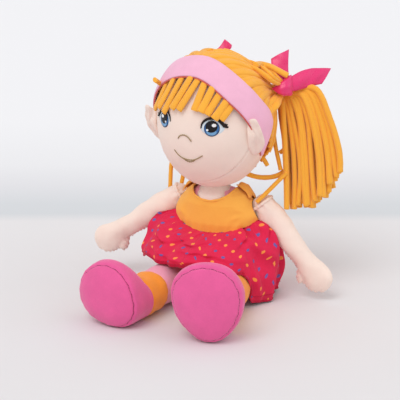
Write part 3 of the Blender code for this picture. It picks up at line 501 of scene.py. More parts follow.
def dotted(t, cut, base):
    """Round dots of two colours, in rows that stagger."""
    turned = t.add(
        "ShaderNodeMapping",
        {"Vector": cut, "Rotation": (0, 0, math.radians(45)), "Scale": (1 / DOT_PITCH, 1 / DOT_PITCH, 1)},
    )
    cell = t.vector("FRACTION", {0: turned})
    centred = t.vector("SUBTRACT", {0: cell, 1: (0.5, 0.5, 0.0)})
    flat = t.vector("MULTIPLY", {0: centred, 1: (1.0, 1.0, 0.0)})
    far = t.vector("LENGTH", {0: flat}, out=1)
    edge = DOT_RADIUS / DOT_PITCH
    inside = t.span(far, edge + DOT_SOFTNESS, edge - DOT_SOFTNESS)
    odd = t.math("FLOORED_MODULO", t.apart(t.vector("FLOOR", {0: turned}))[0], 2.0)
    dot = t.mix(t.math("GREATER_THAN", odd, 0.5), *(rgb(*c) for c in DOT_COLOURS))
    return t.mix(t.math("MULTIPLY", inside, 0.93), base, dot)


# Each cloth's colour, roughness, sheen, thread pitch, bump, mottling and size of its patches
skin = cloth("skin_jersey", (246, 225, 213), 0.90, 0.25, 0.0006, 0.16, 0.018, 0.015, 0.15)
pink = cloth("pink_cotton", (246, 168, 192), 0.90, 0.22, 0.0006, 0.28, 0.05)
hair = cloth("hair_cord", (255, 180, 63), 0.88, 0.30, 0.0009, 0.45, 0.035, cords=True)
# Darker orange for the cap under the cords: painted shade that shows in the gaps between them
hair_painted_shade = cloth("hair_underlay_painted_shade", (236, 138, 34), 0.95, 0.05, 0.0009, 0.5, 0.10)
yoke_cloth = cloth("orange_cotton", (255, 182, 80), 0.88, 0.20, 0.0006, 0.26, 0.02)
cuff_cloth = cloth("cuff_jersey", (252, 156, 52), 0.90, 0.22, 0.0007, 0.30, 0.05)
skirt_cloth = cloth("dotted_cotton", (224, 38, 80), 0.88, 0.06, 0.0006, 0.26, 0.06, dots=True)
hem_cloth = cloth("skirt_hem", (196, 26, 66), 0.88, 0.12, 0.0006, 0.30, 0.08)
boot_cloth = cloth("boot_plush", (234, 96, 156), 0.92, 0.35, 0.0008, 0.34, 0.05)
boot_seam = cloth("boot_seam", (168, 44, 102), 0.92, 0.10, 0.0006, 0.4, 0.1)
band_cloth = cloth("band_jersey", (243, 184, 210), 0.85, 0.24, 0.0006, 0.22, 0.03)
piping_cloth = cloth("band_piping", (222, 104, 92), 0.80, 0.15, 0.0005, 0.3, 0.08)
satin = cloth("ribbon_satin", (232, 40, 114), 0.30, 0.10, 0.0004, 0.10, 0.05, specular=0.6, shine=0.4)
eye_white = cloth("eye_white_stitch", (226, 238, 246), 0.55, 0.10, 0.0004, 0.35, 0.04)
iris_cloth = cloth("iris_stitch", (62, 112, 172), 0.50, 0.10, 0.0004, 0.40, 0.12, 0.002)
iris_light = cloth("iris_light_stitch", (122, 172, 216), 0.50, 0.10, 0.0004, 0.40, 0.08, 0.002)
iris_dark = cloth("iris_edge_stitch", (28, 50, 92), 0.50, 0.10, 0.0004, 0.40, 0.08, 0.002)
pupil_cloth = cloth("pupil_stitch", (18, 16, 20), 0.45, 0.05, 0.0004, 0.40, 0.10, 0.002)
lash_cloth = cloth("lash_stitch", (38, 26, 24), 0.50, 0.05, 0.0004, 0.40, 0.10, 0.002)
glint = cloth("glint_stitch", (250, 252, 255), 0.45, 0.05, 0.0004, 0.30, 0.02)
face_thread = cloth("face_thread", (168, 142, 104), 0.60, 0.15, 0.0004, 0.35, 0.10, 0.002)
stitch_pale = cloth("seam_thread", (248, 226, 216), 0.75, 0.10, 0.0004, 0.30, 0.05)
# Arm seam thread darker pink than the skin: real thread, and painted shade of the seam's line
arm_thread_painted_shade = cloth("arm_seam_thread_and_shade", (232, 182, 170), 0.80, 0.10, 0.0004, 0.30, 0.08)


# Head. Its pieces are drawn looking straight ahead, and make() turns them.

NECK = place(0, 0.015, 0.094)
HEAD_TURN = Matrix.Translation(NECK) @ Matrix.Rotation(math.radians(-6.5), 4, "Z") @ Matrix.Translation(-NECK)
UNTURN = HEAD_TURN.inverted()
SKULL = place(0, 0.019, 0.1395)
HALF = Vector((0.0450, 0.0420, 0.0525))
SEAM_POINT = place(0, 0.042, 0.098)
SEAM_FRONT = Vector((0, -1.0, 0.30)).normalized()
BAND_TILT = math.radians(29.0)
BAND_NORMAL = Vector((0, math.cos(BAND_TILT), math.sin(BAND_TILT)))


def on_skull(direction, lift):
    return SKULL + times([h + lift for h in HALF], direction)


def face_point(sideways, height, lift=0.0):
    x = sideways / (HALF.x + lift)
    z = (height - SKULL.z) / (HALF.z + lift)
    depth = (HALF.y + lift) * math.sqrt(max(0.0, 1 - x * x - z * z))
    return Vector((sideways, SKULL.y - depth, height))


def seen_on_skull(x, y, lift):
    """The nearest point of the skull, grown by lift, at a place in the picture."""
    start = UNTURN @ camera_place - SKULL
    ray = UNTURN.to_3x3() @ picture_ray(x, y)
    size = [h + lift for h in HALF]
    a, b = over(start, size), over(ray, size)
    half_b, rest = a.dot(b) / b.dot(b), (a.dot(a) - 1) / b.dot(b)
    reach = -half_b - math.sqrt(max(0.0, half_b * half_b - rest))
    return start + ray * reach + SKULL


def skull_path(points):
    return [seen_on_skull(*p) for p in points]


def loose_path(points, through):
    """Places in the picture, at the depth of a point, in the frame of the head before its turn."""
    return [UNTURN @ seen(x, y, Vector(through)) for x, y in points]


def skull_normal(p):
    return Vector([(a - b) / (c * c) for a, b, c in zip(p, SKULL, HALF)]).normalized()


def scaled(normal):
    """The direction on the unit sphere that stands for a plane's normal on the skull."""
    return times(normal, HALF).normalized()


def globe(axis, side, up, latitude, turn):
    """A direction of the unit sphere, by its latitude from the plane across the axis and its turn."""
    return axis * math.sin(latitude) + wheel(side, up, turn) * math.cos(latitude)


SEAM_AXIS = scaled(SEAM_FRONT)
SEAM_LATITUDE = math.asin((SEAM_POINT - SKULL).dot(SEAM_FRONT) / times(SEAM_FRONT, HALF).length)
BAND_AXIS = scaled(BAND_NORMAL)
BAND_REACH = times(BAND_NORMAL, HALF).length


def make_head():
    side, up = around(SEAM_AXIS)
    fine = (0.0, 0.007, 0.014, 0.022, 0.034, 0.05, 0.075, 0.105)
    near = sorted({SEAM_LATITUDE + f * s for f in fine for s in (1, -1)})
    count = 58
    plain = [-math.pi / 2 + math.pi * (k + 0.5) / count for k in range(count)]
    rows = []
    for latitude in sorted(near + [a for a in plain if abs(a - SEAM_LATITUDE) > 0.125]):
        row = []
        for turn in parts(150):
            d = globe(SEAM_AXIS, side, up, latitude, turn)
            off = (latitude - SEAM_LATITUDE) * 0.045
            lift = -0.0003 * bell(off, 0.0007) + 0.0003 * bell(abs(off) - 0.0022, 0.0016)
            wave = math.sin(turn * 31 + 4 * rough((turn, 0, 0), 0.6)) * rough((turn * 3, 1, 0), 0.9)
            lift += 0.0007 * wave * math.exp(-abs(off) / 0.0035)
            lift += 0.0005 * rough(d * 0.045, 0.022)
            row.append(on_skull(d, lift))
        rows.append(row)
    tips = (on_skull(-SEAM_AXIS, 0), on_skull(SEAM_AXIS, 0))
    head = skin_over("head", skin, rows, tips, turned=True)
    finished(head, "head", "skin", ("head_face_panel", "head_back_panel", "head_filling"))

    thread = Shape()
    stitches = 150
    for k in range(0, stitches, 2):
        ends = [
            on_skull(globe(SEAM_AXIS, side, up, SEAM_LATITUDE, FULL_TURN * end / stitches), -0.0002)
            for end in (k - 0.15, k + 1.0)
        ]
        thread.cord(ends, 0.00034, 0.00024, 5)
    finished(thread.make("head_seam_stitches", stitch_pale, turned=True), "head", "skin")


make_head()


# The left ear's edge in the picture, and how far each point stands off the skull
EAR_EDGE = (
    (247.6, 121.6, 0.0012), (249.6, 119.6, 0.0066), (255.2, 119.0, 0.0092), (258.8, 124.0, 0.0098),
    (261.6, 131.0, 0.0100), (264.2, 138.8, 0.0100), (264.4, 145.2, 0.0088), (261.2, 151.0, 0.0060),
    (256.3, 154.6, 0.0025), (251.6, 153.6, 0.0004), (248.6, 146.6, 0.0012), (247.4, 135.5, 0.0016),
    (247.2, 128.0, 0.0014),
)
EAR_HALF_THICKNESS = 0.0030


def make_ears():
    """Both ears are flat pads with a dent on the front; the right one mirrors the left."""
    edge = skull_path(EAR_EDGE)
    edge = spline(edge + edge[:1], 4)[:-1]
    centre = mean(edge)
    way = (skull_normal(centre) * 0.6 + UNTURN.to_3x3() @ camera_back).normalized()
    rings = 22
    rows = []
    for j in range(1, rings):
        rise = math.pi * j / rings
        share = math.sin(rise) ** 0.85
        row = []
        for k, p in enumerate(edge):
            dent = 0.0012 * bell(share - 0.52, 0.26) * (1 if j < rings / 2 else 0)
            rim = 0.0004 * math.sin(k * 0.9) * bell(share - 0.8, 0.2)
            stand = EAR_HALF_THICKNESS * math.cos(rise) - dent + rim
            row.append(centre + (p - centre) * share + way * stand)
        rows.append(row)
    tips = [centre + way * (EAR_HALF_THICKNESS * turn - 0.0006) for turn in (1, -1)]
    for side, name in SIDES:
        moved = [[Vector((side * p.x, p.y, p.z)) for p in row] for row in (*rows, tips)]
        ear = skin_over(f"ear_{name}", skin, moved[:-1], moved[-1], turned=True)
        finished(ear, "head", "skin", (f"ear_{name}",))


make_ears()


# Face, embroidered in layers


def patch(name, outline, lift, material, slot, nodes=()):
    """Embroidery inside the outline, which follows the face and thins to its edge."""
    s = sum(p[0] for p in outline) / len(outline)
    h = sum(p[1] for p in outline) / len(outline)
    rounds, swell = 5, 0.00018
    rows, uvs = [], []
    for step in range(rounds + 2):
        share = 1.0 if step < 2 else 1 - (step - 1) / (rounds + 1)
        raise_ = 0.0 if step == 0 else lift + swell * (1 - share**3)
        points = [(s + (a - s) * share, h + (b - h) * share) for a, b in outline]
        rows.append([face_point(a, b, raise_) for a, b in points])
        uvs.append(points)
    shape = Shape()
    shape.rows(rows, True, face_point(s, h, 0.0), face_point(s, h, lift + swell), uvs)
    finished(shape.make(name, material, turned=True), "head", slot, nodes)


def oval(s, h, half_s, half_h, count=36):
    return [(s + half_s * math.cos(a), h + half_h * math.sin(a)) for a in parts(count)]


def drawn(shape, points, widths, lift, count=8):
    """A flat run of satin stitches along the points, on the face, that swells and tapers."""
    line = spline([Vector((a, b, 0)) for a, b in points], count)
    rows = []
    for k, p in enumerate(line):
        along = neighbours(line, k).normalized()
        across = Vector((-along.y, along.x, 0)) * between(widths, k / (len(line) - 1))
        (a, b), (c, d) = ((p.x + across.x, p.y + across.y), (p.x - across.x, p.y - across.y))
        m, n = (a + c) / 2, (b + d) / 2
        rows.append([
            face_point(a, b, 0.0001), face_point(a, b, lift), face_point(m, n, lift + 0.00022),
            face_point(c, d, lift), face_point(c, d, 0.0001),
        ])
    shape.capped(rows)


# Layers of an eye from the lowest up: sideways, height, half width, half height and lift
EYE_LAYERS = (
    ("eye_white", (0.0213, 0.1436, 0.0079, 0.0058), 0.00025, eye_white, "eye_white", True),
    ("iris_edge", (0.0210, 0.1428, 0.0053, 0.0059), 0.00045, iris_dark, "iris", False),
    ("iris", (0.0210, 0.1429, 0.0049, 0.0054), 0.00060, iris_cloth, "iris", True),
    ("iris_light", (0.0211, 0.1402, 0.0034, 0.0026), 0.00075, iris_light, "iris", False),
    ("pupil", (0.0210, 0.1443, 0.0040, 0.0045), 0.00092, pupil_cloth, "pupil", True),
)
LID = (
    (0.0136, 0.1428), (0.0144, 0.1465), (0.0168, 0.1493), (0.0208, 0.1506),
    (0.0246, 0.1497), (0.0276, 0.1470), (0.0298, 0.1442),
)
LID_WIDTHS = (0.00015, 0.00055, 0.00080, 0.00090, 0.00085, 0.00085, 0.00100)
LASHES = (
    ((0.0278, 0.1466), (0.0294, 0.1458), (0.0308, 0.1456)),
    ((0.0292, 0.1450), (0.0302, 0.1441), (0.0313, 0.1438)),
)


def make_eyes():
    for side, name in SIDES:
        rise = -0.0008 if side > 0 else 0.0012
        shine = 0.0019 if side > 0 else -0.0017

        def at(s, h):
            return (side * s, h + rise)

        for part, sizes, lift, material, slot, own in EYE_LAYERS:
            outline = [at(a, b) for a, b in oval(*sizes)]
            patch(f"{part}_{name}", outline, lift, material, slot, (f"{part}_{name}",) if own else ())
        big = oval(side * 0.0210 + shine, 0.1454 + rise, 0.0015, 0.0013, 20)
        patch(f"glint_{name}", big, 0.00110, glint, "eye_white")
        small = oval(side * 0.0210 - shine * 1.35, 0.1418 + rise, 0.0008, 0.0008, 14)
        patch(f"glint_small_{name}", small, 0.00110, glint, "eye_white")

        lid = Shape()
        drawn(lid, [at(*p) for p in LID], LID_WIDTHS, 0.00105)
        for lash in LASHES:
            drawn(lid, [at(*p) for p in lash], (0.00075, 0.00070, 0.00045), 0.00095, 4)
        finished(lid.make(f"eyelid_{name}", lash_cloth, turned=True), "head", "pupil", (f"lashes_{name}",))


make_eyes()


def stitched(name, radius, runs):
    """A line of back stitches: short plump beads end to end."""
    shape = Shape()
    for run in runs:
        line = spline([Vector((a, b, 0)) for a, b in run], 10)
        reach = distances(line)
        count = max(3, round(reach[-1] / 0.0016))
        for n in range(count):
            points = []
            for j in range(5):
                goal = reach[-1] * (n + j / 4 * 1.06) / count
                k = min(max(i for i, r in enumerate(reach) if r <= goal + 1e-12), len(line) - 2)
                share = (goal - reach[k]) / max(reach[k + 1] - reach[k], 1e-9)
                p = line[k].lerp(line[k + 1], min(share, 1.0))
                points.append(face_point(p.x, p.y, 0.00035))
            shape.cord(points, radius, radius * 0.8, 6, taper=lambda t: 0.62 + 0.45 * math.sin(math.pi * t))
    finished(shape.make(name, face_thread, turned=True), "head", "face_thread", (name,))


stitched("nose_stitching", 0.00058, [
    [(-0.0060, 0.1322), (-0.0047, 0.1340), (-0.0022, 0.1352), (0.0004, 0.1354), (0.0032, 0.1341),
     (0.0056, 0.1312)],
])
stitched("mouth_stitching", 0.00054, [
    [(-0.0113, 0.1221), (-0.0085, 0.1190), (-0.0052, 0.1168), (-0.0018, 0.1160), (0.0016, 0.1157),
     (0.0050, 0.1161), (0.0090, 0.1178), (0.0129, 0.1203)],
    [(-0.0042, 0.1164), (-0.0018, 0.1149), (0.0010, 0.1141), (0.0040, 0.1147), (0.0066, 0.1163)],
])


# Hair

TIES = {side: place(side * 0.047, -0.012, 0.165) for side, _ in SIDES}
TIE_LENGTH = 0.017
CORD_SPACING = 0.0054
NAPE = Vector((0, 0.62, -0.52))


def gather_axes(side):
    """Ways at a pigtail's tie: out of the head, to the front, and across both."""
    out = over(TIES[side] - SKULL, [h * h for h in HALF]).normalized()
    front = (out * out.y - Y).normalized()
    return out, front, out.cross(front)


def make_underlay():
    """A plain cap under the cords, so that no skin shows between them. Its darker orange is painted shade that
    shows in the gaps between the cords.
    """
    side, up = around(BAND_AXIS)
    lift = 0.0003
    rows = [
        [on_skull(globe(BAND_AXIS, side, up, latitude, turn), lift) for turn in parts(90)]
        for latitude in parts(30, -0.04, math.pi / 2)
    ]
    shape = Shape()
    shape.rows(rows, True, end=on_skull(BAND_AXIS, lift))
    obj = shape.make("hair_underlay_painted_shade", hair_painted_shade)
    bm = open_mesh(obj.data)
    keep_side(bm, Vector((0, 0, 0.1135)), Z)
    close_mesh(bm, obj.data)
    obj.data.transform(HEAD_TURN)
    thicken(obj, 0.0008)
    finished(obj, "head", "hair")


make_underlay()


def hair_starts(side):
    """Directions on the skull where the cords begin, along the band, the parting and the nape."""
    low = 0.0005 / BAND_REACH
    up = upward(BAND_AXIS.cross(X).normalized())
    points = [
        BAND_AXIS * low + wheel(X * side, up, turn) * math.sqrt(1 - low * low)
        for turn in steps(50, math.radians(-38), math.pi / 2)
    ]
    top, back = points[-1], NAPE.normalized()
    for k in range(1, 50):
        d = top.slerp(back, k / 49)
        points.append(Vector((side * 0.022, d.y, d.z)).normalized())
    for k in range(1, 24):
        points.append(Vector((side * 0.70 * k / 24, NAPE.y * (1 - 0.35 * k / 24), NAPE.z)).normalized())
    return points


def strays(shape, cords, wide, deep, key):
    """Loose cords: points of a start, places in the picture, and a point at their depth."""
    for k, (start, places, through) in enumerate(cords):
        path = start + loose_path(places, through)
        shape.cord(path, wide, deep, 8, key=key + k, knit=0.08, smooth=6)


# Short cords that fill the picture's gaps near the left tie, from the band and from the ear
FILLERS = (
    ((247.0, 62.0, 0.0004), (256.0, 65.0, 0.0040), (266.0, 71.2, 0.0080), (273.4, 77.6, 0.0110)),
    ((246.0, 66.0, 0.0004), (256.0, 69.6, 0.0038), (265.6, 75.8, 0.0074), (273.0, 81.6, 0.0096)),
    ((250.0, 62.6, 0.0004), (259.4, 66.2, 0.0040), (269.4, 71.0, 0.0090), (276.4, 76.6, 0.0120)),
    ((266.0, 104.0, 0.0004), (270.0, 102.4, 0.0024), (275.0, 98.6, 0.0052), (279.0, 93.6, 0.0080)),
    ((267.6, 112.5, 0.0004), (271.6, 110.0, 0.0030), (276.4, 104.6, 0.0062), (280.0, 96.0, 0.0088)),
)
HEAD_STRAYS = (
    ([seen_on_skull(269.6, 106.0, 0.0026)],
     ((274.9, 112.0), (274.4, 123.0), (273.9, 133.0), (275.2, 144.5), (277.8, 157.0), (280.6, 169.8)),
     (0.052, 0.012, 0.13)),
    ([on_skull(Vector((0.50, 0.52, -0.69)).normalized(), 0.0016)],
     ((244.5, 171.4), (251.5, 175.4), (261.5, 177.4), (271.5, 177.0), (278.8, 174.8), (285.8, 170.2)),
     (0.046, 0.002, 0.10)),
    ([seen_on_skull(256.6, 150.4, 0.0016)],
     ((259.6, 154.4), (263.6, 159.0), (267.4, 165.4)), (0.046, -0.004, 0.115)),
)


def left_extras(shape, tie, out, front):
    front_of = HEAD_TURN @ (tie - out * 0.0065 + front * 0.010)
    stub = skull_path(((255.6, 64.8, 0.0062), (261.4, 64.3, 0.0072), (269.6, 66.3, 0.0078)))
    stub += loose_path(((277.8, 70.4), (287.5, 75.5)), front_of)
    shape.cord(stub, 0.0027, 0.0020, 8, key=91, smooth=6)
    for k, points in enumerate(FILLERS):
        end = ((281.5 + k, 83.5 + 2 * (k == 1)),)
        path = skull_path(points) + loose_path(end, front_of - camera_back * 0.004)
        shape.cord(path, 0.0029, 0.0019, 10, key=95 + k, taper=lambda t: 1 - 0.25 * ease(0.5, 1, t), smooth=6)
    strays(shape, HEAD_STRAYS, 0.0021, 0.0017, 125)


def right_extras(shape):
    """A stub at the band, and the cord that lies along the parting."""
    stub = skull_path(((160.5, 84.0, 0.0040), (157.5, 81.5, 0.0080), (155.0, 80.0, 0.0110)))
    shape.cord(stub, 0.0026, 0.0018, 8, key=92, smooth=4)
    angles = [math.radians(124 - 6.2 * k) for k in range(25)]
    ridge = [on_skull(Vector((0, math.cos(a), math.sin(a))), 0.0009) for a in angles]
    shape.cord(ridge, 0.0036, 0.0010, 10, [skull_normal(p) for p in ridge], 93)


def make_hair(side, name):
    """Cords combed over the skull from where they begin to the pigtail's tie."""
    out, front, _ = gather_axes(side)
    tie = TIES[side]
    line = hair_starts(side)
    reach = distances([on_skull(d, 0.003) for d in line])
    count = int(reach[-1] / CORD_SPACING)
    target = over(tie - SKULL, HALF).normalized()
    shape = Shape()
    for n in range(count):
        goal = (n + 0.5) * reach[-1] / count
        start = line[max(i for i, r in enumerate(reach) if r <= goal)]
        layer = 0.0016 + 0.0011 * (n % 3 == 1) + 0.0006 * chance(n, side)
        path, normals = [], []
        sweep = start.angle(target)
        stop = 1 - 0.20 / max(sweep, 0.21)
        bend = Vector((0, 0, 0.10)) * (1 if start.z > 0.2 else 0.4)
        for t in steps(max(6, int(sweep * 13)) + 1, 0.0, stop):
            d = start.slerp(target, t)
            d = (d + bend * math.sin(math.pi * t) * ease(0, 1.2, sweep)).normalized()
            lift = layer + 0.0022 * ease(0.55, 1.0, t) - 0.0013 * ease(0.62, 0.90, d.z)
            lift += 0.0005 * rough((t * 4, n, side), 0.7)
            path.append(on_skull(d, lift))
            normals.append(over(d, HALF).normalized())
        base = path[-1] - tie
        radial = (base - out * base.dot(out)).normalized()
        path += [tie - out * (TIE_LENGTH * a) + radial * b for a, b in ((0.70, 0.0056), (0.44, 0.0040))]
        normals = [v.normalized() for v in spline(normals + [radial, radial], 2)]
        squeeze = 0.30 + 0.28 * ease(0.10, 0.75, sweep)
        shape.cord(
            path, 0.0032, 0.0014, 10, normals, n + 40 * (side > 0),
            lambda t: 1.0 - squeeze * ease(0.35, 1.0, t), 0.04, smooth=2,
        )
    plug = [tie - out * d for d in (0.0130, 0.0090, 0.0050, 0.0010)]
    shape.cord(plug, 0.0047, 0.0047, 14, key=90)
    if side > 0:
        left_extras(shape, tie, out, front)
    else:
        right_extras(shape)
    finished(shape.make(f"hair_{name}", hair, turned=True), "head", "hair", ("hair_cap",))


for side, name in SIDES:
    make_hair(side, name)

# Each fringe cord in the picture: where it leaves the band and where it ends
FRINGES = {
    "left": (
        ((205.6, 80.2), (194.4, 110.4)), ((213.8, 85.6), (200.4, 111.9)), ((221.8, 90.8), (206.9, 114.7)),
        ((229.0, 97.4), (214.2, 119.0)), ((234.2, 102.6), (220.8, 119.4)),
    ),
    "right": (
        ((198.8, 78.2), (178.8, 109.8)), ((191.2, 76.4), (171.8, 108.4)), ((183.0, 75.4), (163.6, 112.2)),
        ((174.4, 76.6), (158.9, 106.9)), ((167.8, 79.4), (155.2, 108.3)),
    ),
}


def make_fringe(name):
    shape = Shape()
    for n, ((x0, y0), (x1, y1)) in enumerate(FRINGES[name]):
        layer = 0.0021 + 0.0009 * (n % 2)
        path = []
        for t in steps(13):
            sway = 0.7 * math.sin(math.pi * t) * (chance(n, 3) - 0.3)
            lift = layer + 0.0010 * t * t + 0.0003 * math.sin(t * 5 + n)
            path.append(seen_on_skull(x0 + (x1 - x0) * t + sway, y0 + (y1 - y0) * t, lift))
        normals = [skull_normal(p) for p in path]
        key = n + 17 * (name == "left")
        shape.cord(path, 0.0030, 0.0014, 12, normals, key, lambda t: 0.88 + 0.14 * t, 0.05)
    finished(shape.make(f"fringe_{name}", hair, turned=True), "head", "hair", (f"fringe_{name}",))


for _, name in SIDES:
    make_fringe(name)


def grow_cord(shape, path, key, wide=0.0026, deep=0.0021, end=1.0):
    """A cord that widens from the tie and is cut a share of the way along its path."""
    path = spline(path, 6)
    path = path[: max(8, int(len(path) * end))]
    shape.cord(path, wide, deep, 8, key=key, taper=lambda t: 0.55 + 0.45 * ease(0, 0.30, t), knit=0.07)


# The left pigtail's layers from front to back: cords, how far their edge is inset, and depth
LEFT_LAYERS = ((11, 0.0, -0.0050), (10, 0.05, 0.0), (9, 0.02, 0.0050), (8, 0.06, 0.0105))
LEFT_EDGE = (
    (281.0, 95.0), (279.9, 106.0), (281.0, 118.0), (284.0, 138.0),
    (286.4, 160.0), (286.8, 182.0), (287.2, 194.0),
)
LEFT_STRAYS = (
    ([], ((280.5, 106.0), (281.8, 122.0), (284.6, 140.0), (286.6, 158.0)), (0.058, 0.016, 0.13)),
    ([], ((287.6, 145.6), (283.6, 149.8), (280.0, 152.6)), (0.052, 0.010, 0.12)),
    ([], ((286.4, 172.8), (281.8, 177.4), (273.7, 185.6), (265.5, 193.7), (256.8, 202.0)),
     (0.050, -0.006, 0.09)),
)


def left_cords(shape):
    """Cords that fan out under the bow, placed as the picture shows them."""
    tie = TIES[1]
    waist = tie - gather_axes(1)[0] * 0.0065
    middle = HEAD_TURN @ (tie + Vector((0.018, 0.010, -0.03)))
    facing = (camera_back * 0.45 - Y * 0.55).normalized()

    def at(x, y, deeper):
        return UNTURN @ seen(x, y, middle - facing * deeper, facing)

    for layer, (count, inset, depth) in enumerate(LEFT_LAYERS):
        for n in range(count):
            u = inset + (1 - 2 * inset) * (n + 0.15 * (chance(n, layer) - 0.5)) / (count - 1)
            u = min(max(u, 0.0), 1.0)
            end = 209.5 - 11 * ease(0.35, 0.75, u) - 26 * ease(0.68, 1.0, u) - 7 * chance(n, layer, 2)
            wave = (chance(n, layer, 3) - 0.5) * 5.6
            bend = (chance(n, layer, 5) - 0.5) * 4.4
            deep = depth + (chance(n, layer, 7) - 0.5) * 0.0030
            path = [
                waist + (at(288, 93, deep) - waist) * 0.10,
                at(281.8 + 11 * u, 94.5 - 5.0 * u + layer, deep * 0.5),
                at(282.4 + 33.5 * u, 104.0 - 15 * u + 2 * layer * (1 - u), deep * 0.9),
                at(284.4 + 46.4 * u + bend * 0.7, 121.5 - 3 * u, deep),
                at(286.4 + 52.0 * u + wave, 150.0, deep),
            ]
            if end > 190:
                path.append(at(287.6 + 53.0 * u + wave, 0.5 * (150 + end), deep))
            path.append(at(288.0 + 53.5 * u + bend, end, deep))
            size = 0.0023 + 0.0006 * chance(n, layer, 9)
            grow_cord(shape, path, n + 60 + 12 * layer, size, size * 0.85)
    grow_cord(shape, [at(x, y, 0.004) for x, y in LEFT_EDGE], 58, 0.0024, 0.0020)
    strays(shape, LEFT_STRAYS, 0.0021, 0.0017, 121)


# Middle of the right bundle from its tie, and its half width and half depth
RIGHT_BUNDLE = (
    ((0.0010, -0.001, -0.0002), 0.0046, 0.0044), ((0.0055, -0.006, 0.0002), 0.0078, 0.0068),
    ((0.0080, -0.012, -0.0090), 0.0100, 0.0098), ((0.0070, -0.018, -0.0300), 0.0108, 0.0128),
    ((0.0060, -0.021, -0.0550), 0.0108, 0.0142), ((0.0050, -0.020, -0.0830), 0.0100, 0.0125),
)
GOLDEN_TURN = 2.39996


def right_cords(shape):
    """Cords spread evenly over the bundle's section, with three loose ones."""
    middles = [TIES[-1] + Vector((-s, -f, h)) for (s, f, h), _, _ in RIGHT_BUNDLE]
    count = 26
    for n in range(count):
        radius = math.sqrt((n + 0.5) / count) * 0.92
        turn = n * GOLDEN_TURN - 1
        a, b = radius * math.cos(turn), radius * math.sin(turn)
        end = 0.95 + 0.05 * math.sin(turn * 2) - 0.05 * chance(n, 5)
        path = []
        for k, (middle, (_, wide, deep)) in enumerate(zip(middles, RIGHT_BUNDLE)):
            drift = Vector((chance(n, k, 1) - 0.5, chance(n, k, 2) - 0.5, 0)) * (0.0030 * ease(0, 3, k))
            path.append(middle - X * (wide * a) + Y * (deep * b) + drift)
        grow_cord(shape, path, n, end=end)
    starts = [
        [middles[j] + Vector((0.004 * k, y, 0)) for j, y in ((2, 0.004), (3, 0.006))] for k in (0, 1)
    ]
    cords = (
        (starts[0], ((175.5, 146.0), (172.6, 157.0), (171.0, 168.0), (170.2, 187.5)), (-0.046, 0.026, 0.10)),
        (starts[1], ((187.0, 162.0), (184.0, 172.0), (181.6, 183.0)), (-0.036, 0.030, 0.10)),
        ([], ((173.2, 163.4), (175.4, 166.0), (178.2, 168.6)), (-0.044, 0.026, 0.10)),
    )
    strays(shape, cords, 0.0022, 0.0018, 140)


for (side, name), grow in zip(SIDES, (left_cords, right_cords)):
    pigtail = Shape()
    grow(pigtail)
    piece = f"pigtail_{name}"
    finished(pigtail.make(piece, hair, turned=True), piece, "hair", (piece,))


# Headband and bows

BAND_WIDTH = 0.0186


def band_point(turn, share, lift):
    """A point of the headband: turn goes round the head, share from 0 at its front edge to 1."""
    lean = wheel(X, upward(BAND_AXIS.cross(X).normalized()), turn)
    slipped = -0.0050 * ease(0.002, 0.034, lean.x * HALF.x)
    far = 1 - 0.88 * ease(-0.02, 0.25, -math.sin(turn)) + 0.15 * bell(math.sin(turn) - 0.12, 0.22)
    low = (slipped + (share * far - 0.5) * BAND_WIDTH) / BAND_REACH
    return on_skull(BAND_AXIS * low + lean * math.sqrt(1 - low * low), lift)


def make_headband():
    turns = steps(151, math.radians(-14.5), math.radians(194.5))
    rows = []
    for turn in turns:
        row = []
        for share in steps(25):
            roll = 0.0007 * (bell(share - 0.02, 0.05) + bell(share - 0.98, 0.05))
            crease_ = 0.0006 * bell(share - 0.42 - 0.1 * math.sin(turn * 2), 0.10) * rough((turn, 0, 0), 0.5)
            pulled = -0.0012 * bell(share, 0.06) - 0.0012 * bell(share - 1, 0.06)
            row.append(band_point(turn, share, 0.0050 + roll + crease_ + pulled))
        rows.append(row)
    band = sheet_over("headband", band_cloth, rows, 0.0009, turned=True)
    finished(band, "head", "headband", ("headband",))
    piping = Shape()
    piping.cord([band_point(turn, -0.012, 0.0036) for turn in turns], 0.00055, 0.00055, 8)
    trim = piping.make("headband_piping", piping_cloth, turned=True)
    return band, finished(trim, "head", "headband")


band, band_trim = make_headband()


def columns_filled(rows, count):
    """The rows, with count steps between each two along smooth columns."""
    return [list(row) for row in zip(*[spline(column, count) for column in zip(*rows)])]


def strip(shape, left, right, bow, facing=camera_back):
    """Ribbon between two smooth edges, with a thickness and a woven edge."""
    left, right = spline(left, 8), spline(right, 8)
    across, thickness = 8, 0.0006
    rows = []
    for k, (a, b) in enumerate(zip(left, right)):
        along = neighbours(left, k) + neighbours(right, k)
        flat = along.cross(b - a).normalized()
        if flat.dot(facing) < 0:
            flat = -flat
        top, under = [], []
        for j, t in enumerate(steps(across + 1)):
            lift = bow * math.sin(math.pi * t) * (1 - 0.5 * k / (len(left) - 1))
            lift += 0.0004 * math.sin(k * 0.5 + t * 6)
            half = thickness / 2 * (1.25 if j in (0, across) else 1.0)
            middle = a.lerp(b, t) + flat * lift
            top.append(middle + flat * half)
            under.append(middle - flat * half)
        rows.append(top + under[::-1])
    shape.capped(rows)


def knot(shape, sections, facing):
    """A tight fold of ribbon, from its point to its open end: top, bottom and half thickness."""
    rows = []
    for top, bottom, thick in sections:
        middle, up = (top + bottom) / 2, (top - bottom) / 2
        pleats = [(a, 1 + 0.07 * math.cos(a * 7 + 0.6)) for a in parts(36)]
        rows.append([
            middle + up * math.cos(a) + facing * (thick * math.sin(a) * pleat) for a, pleat in pleats
        ])
    shape.capped(columns_filled(rows, 5))


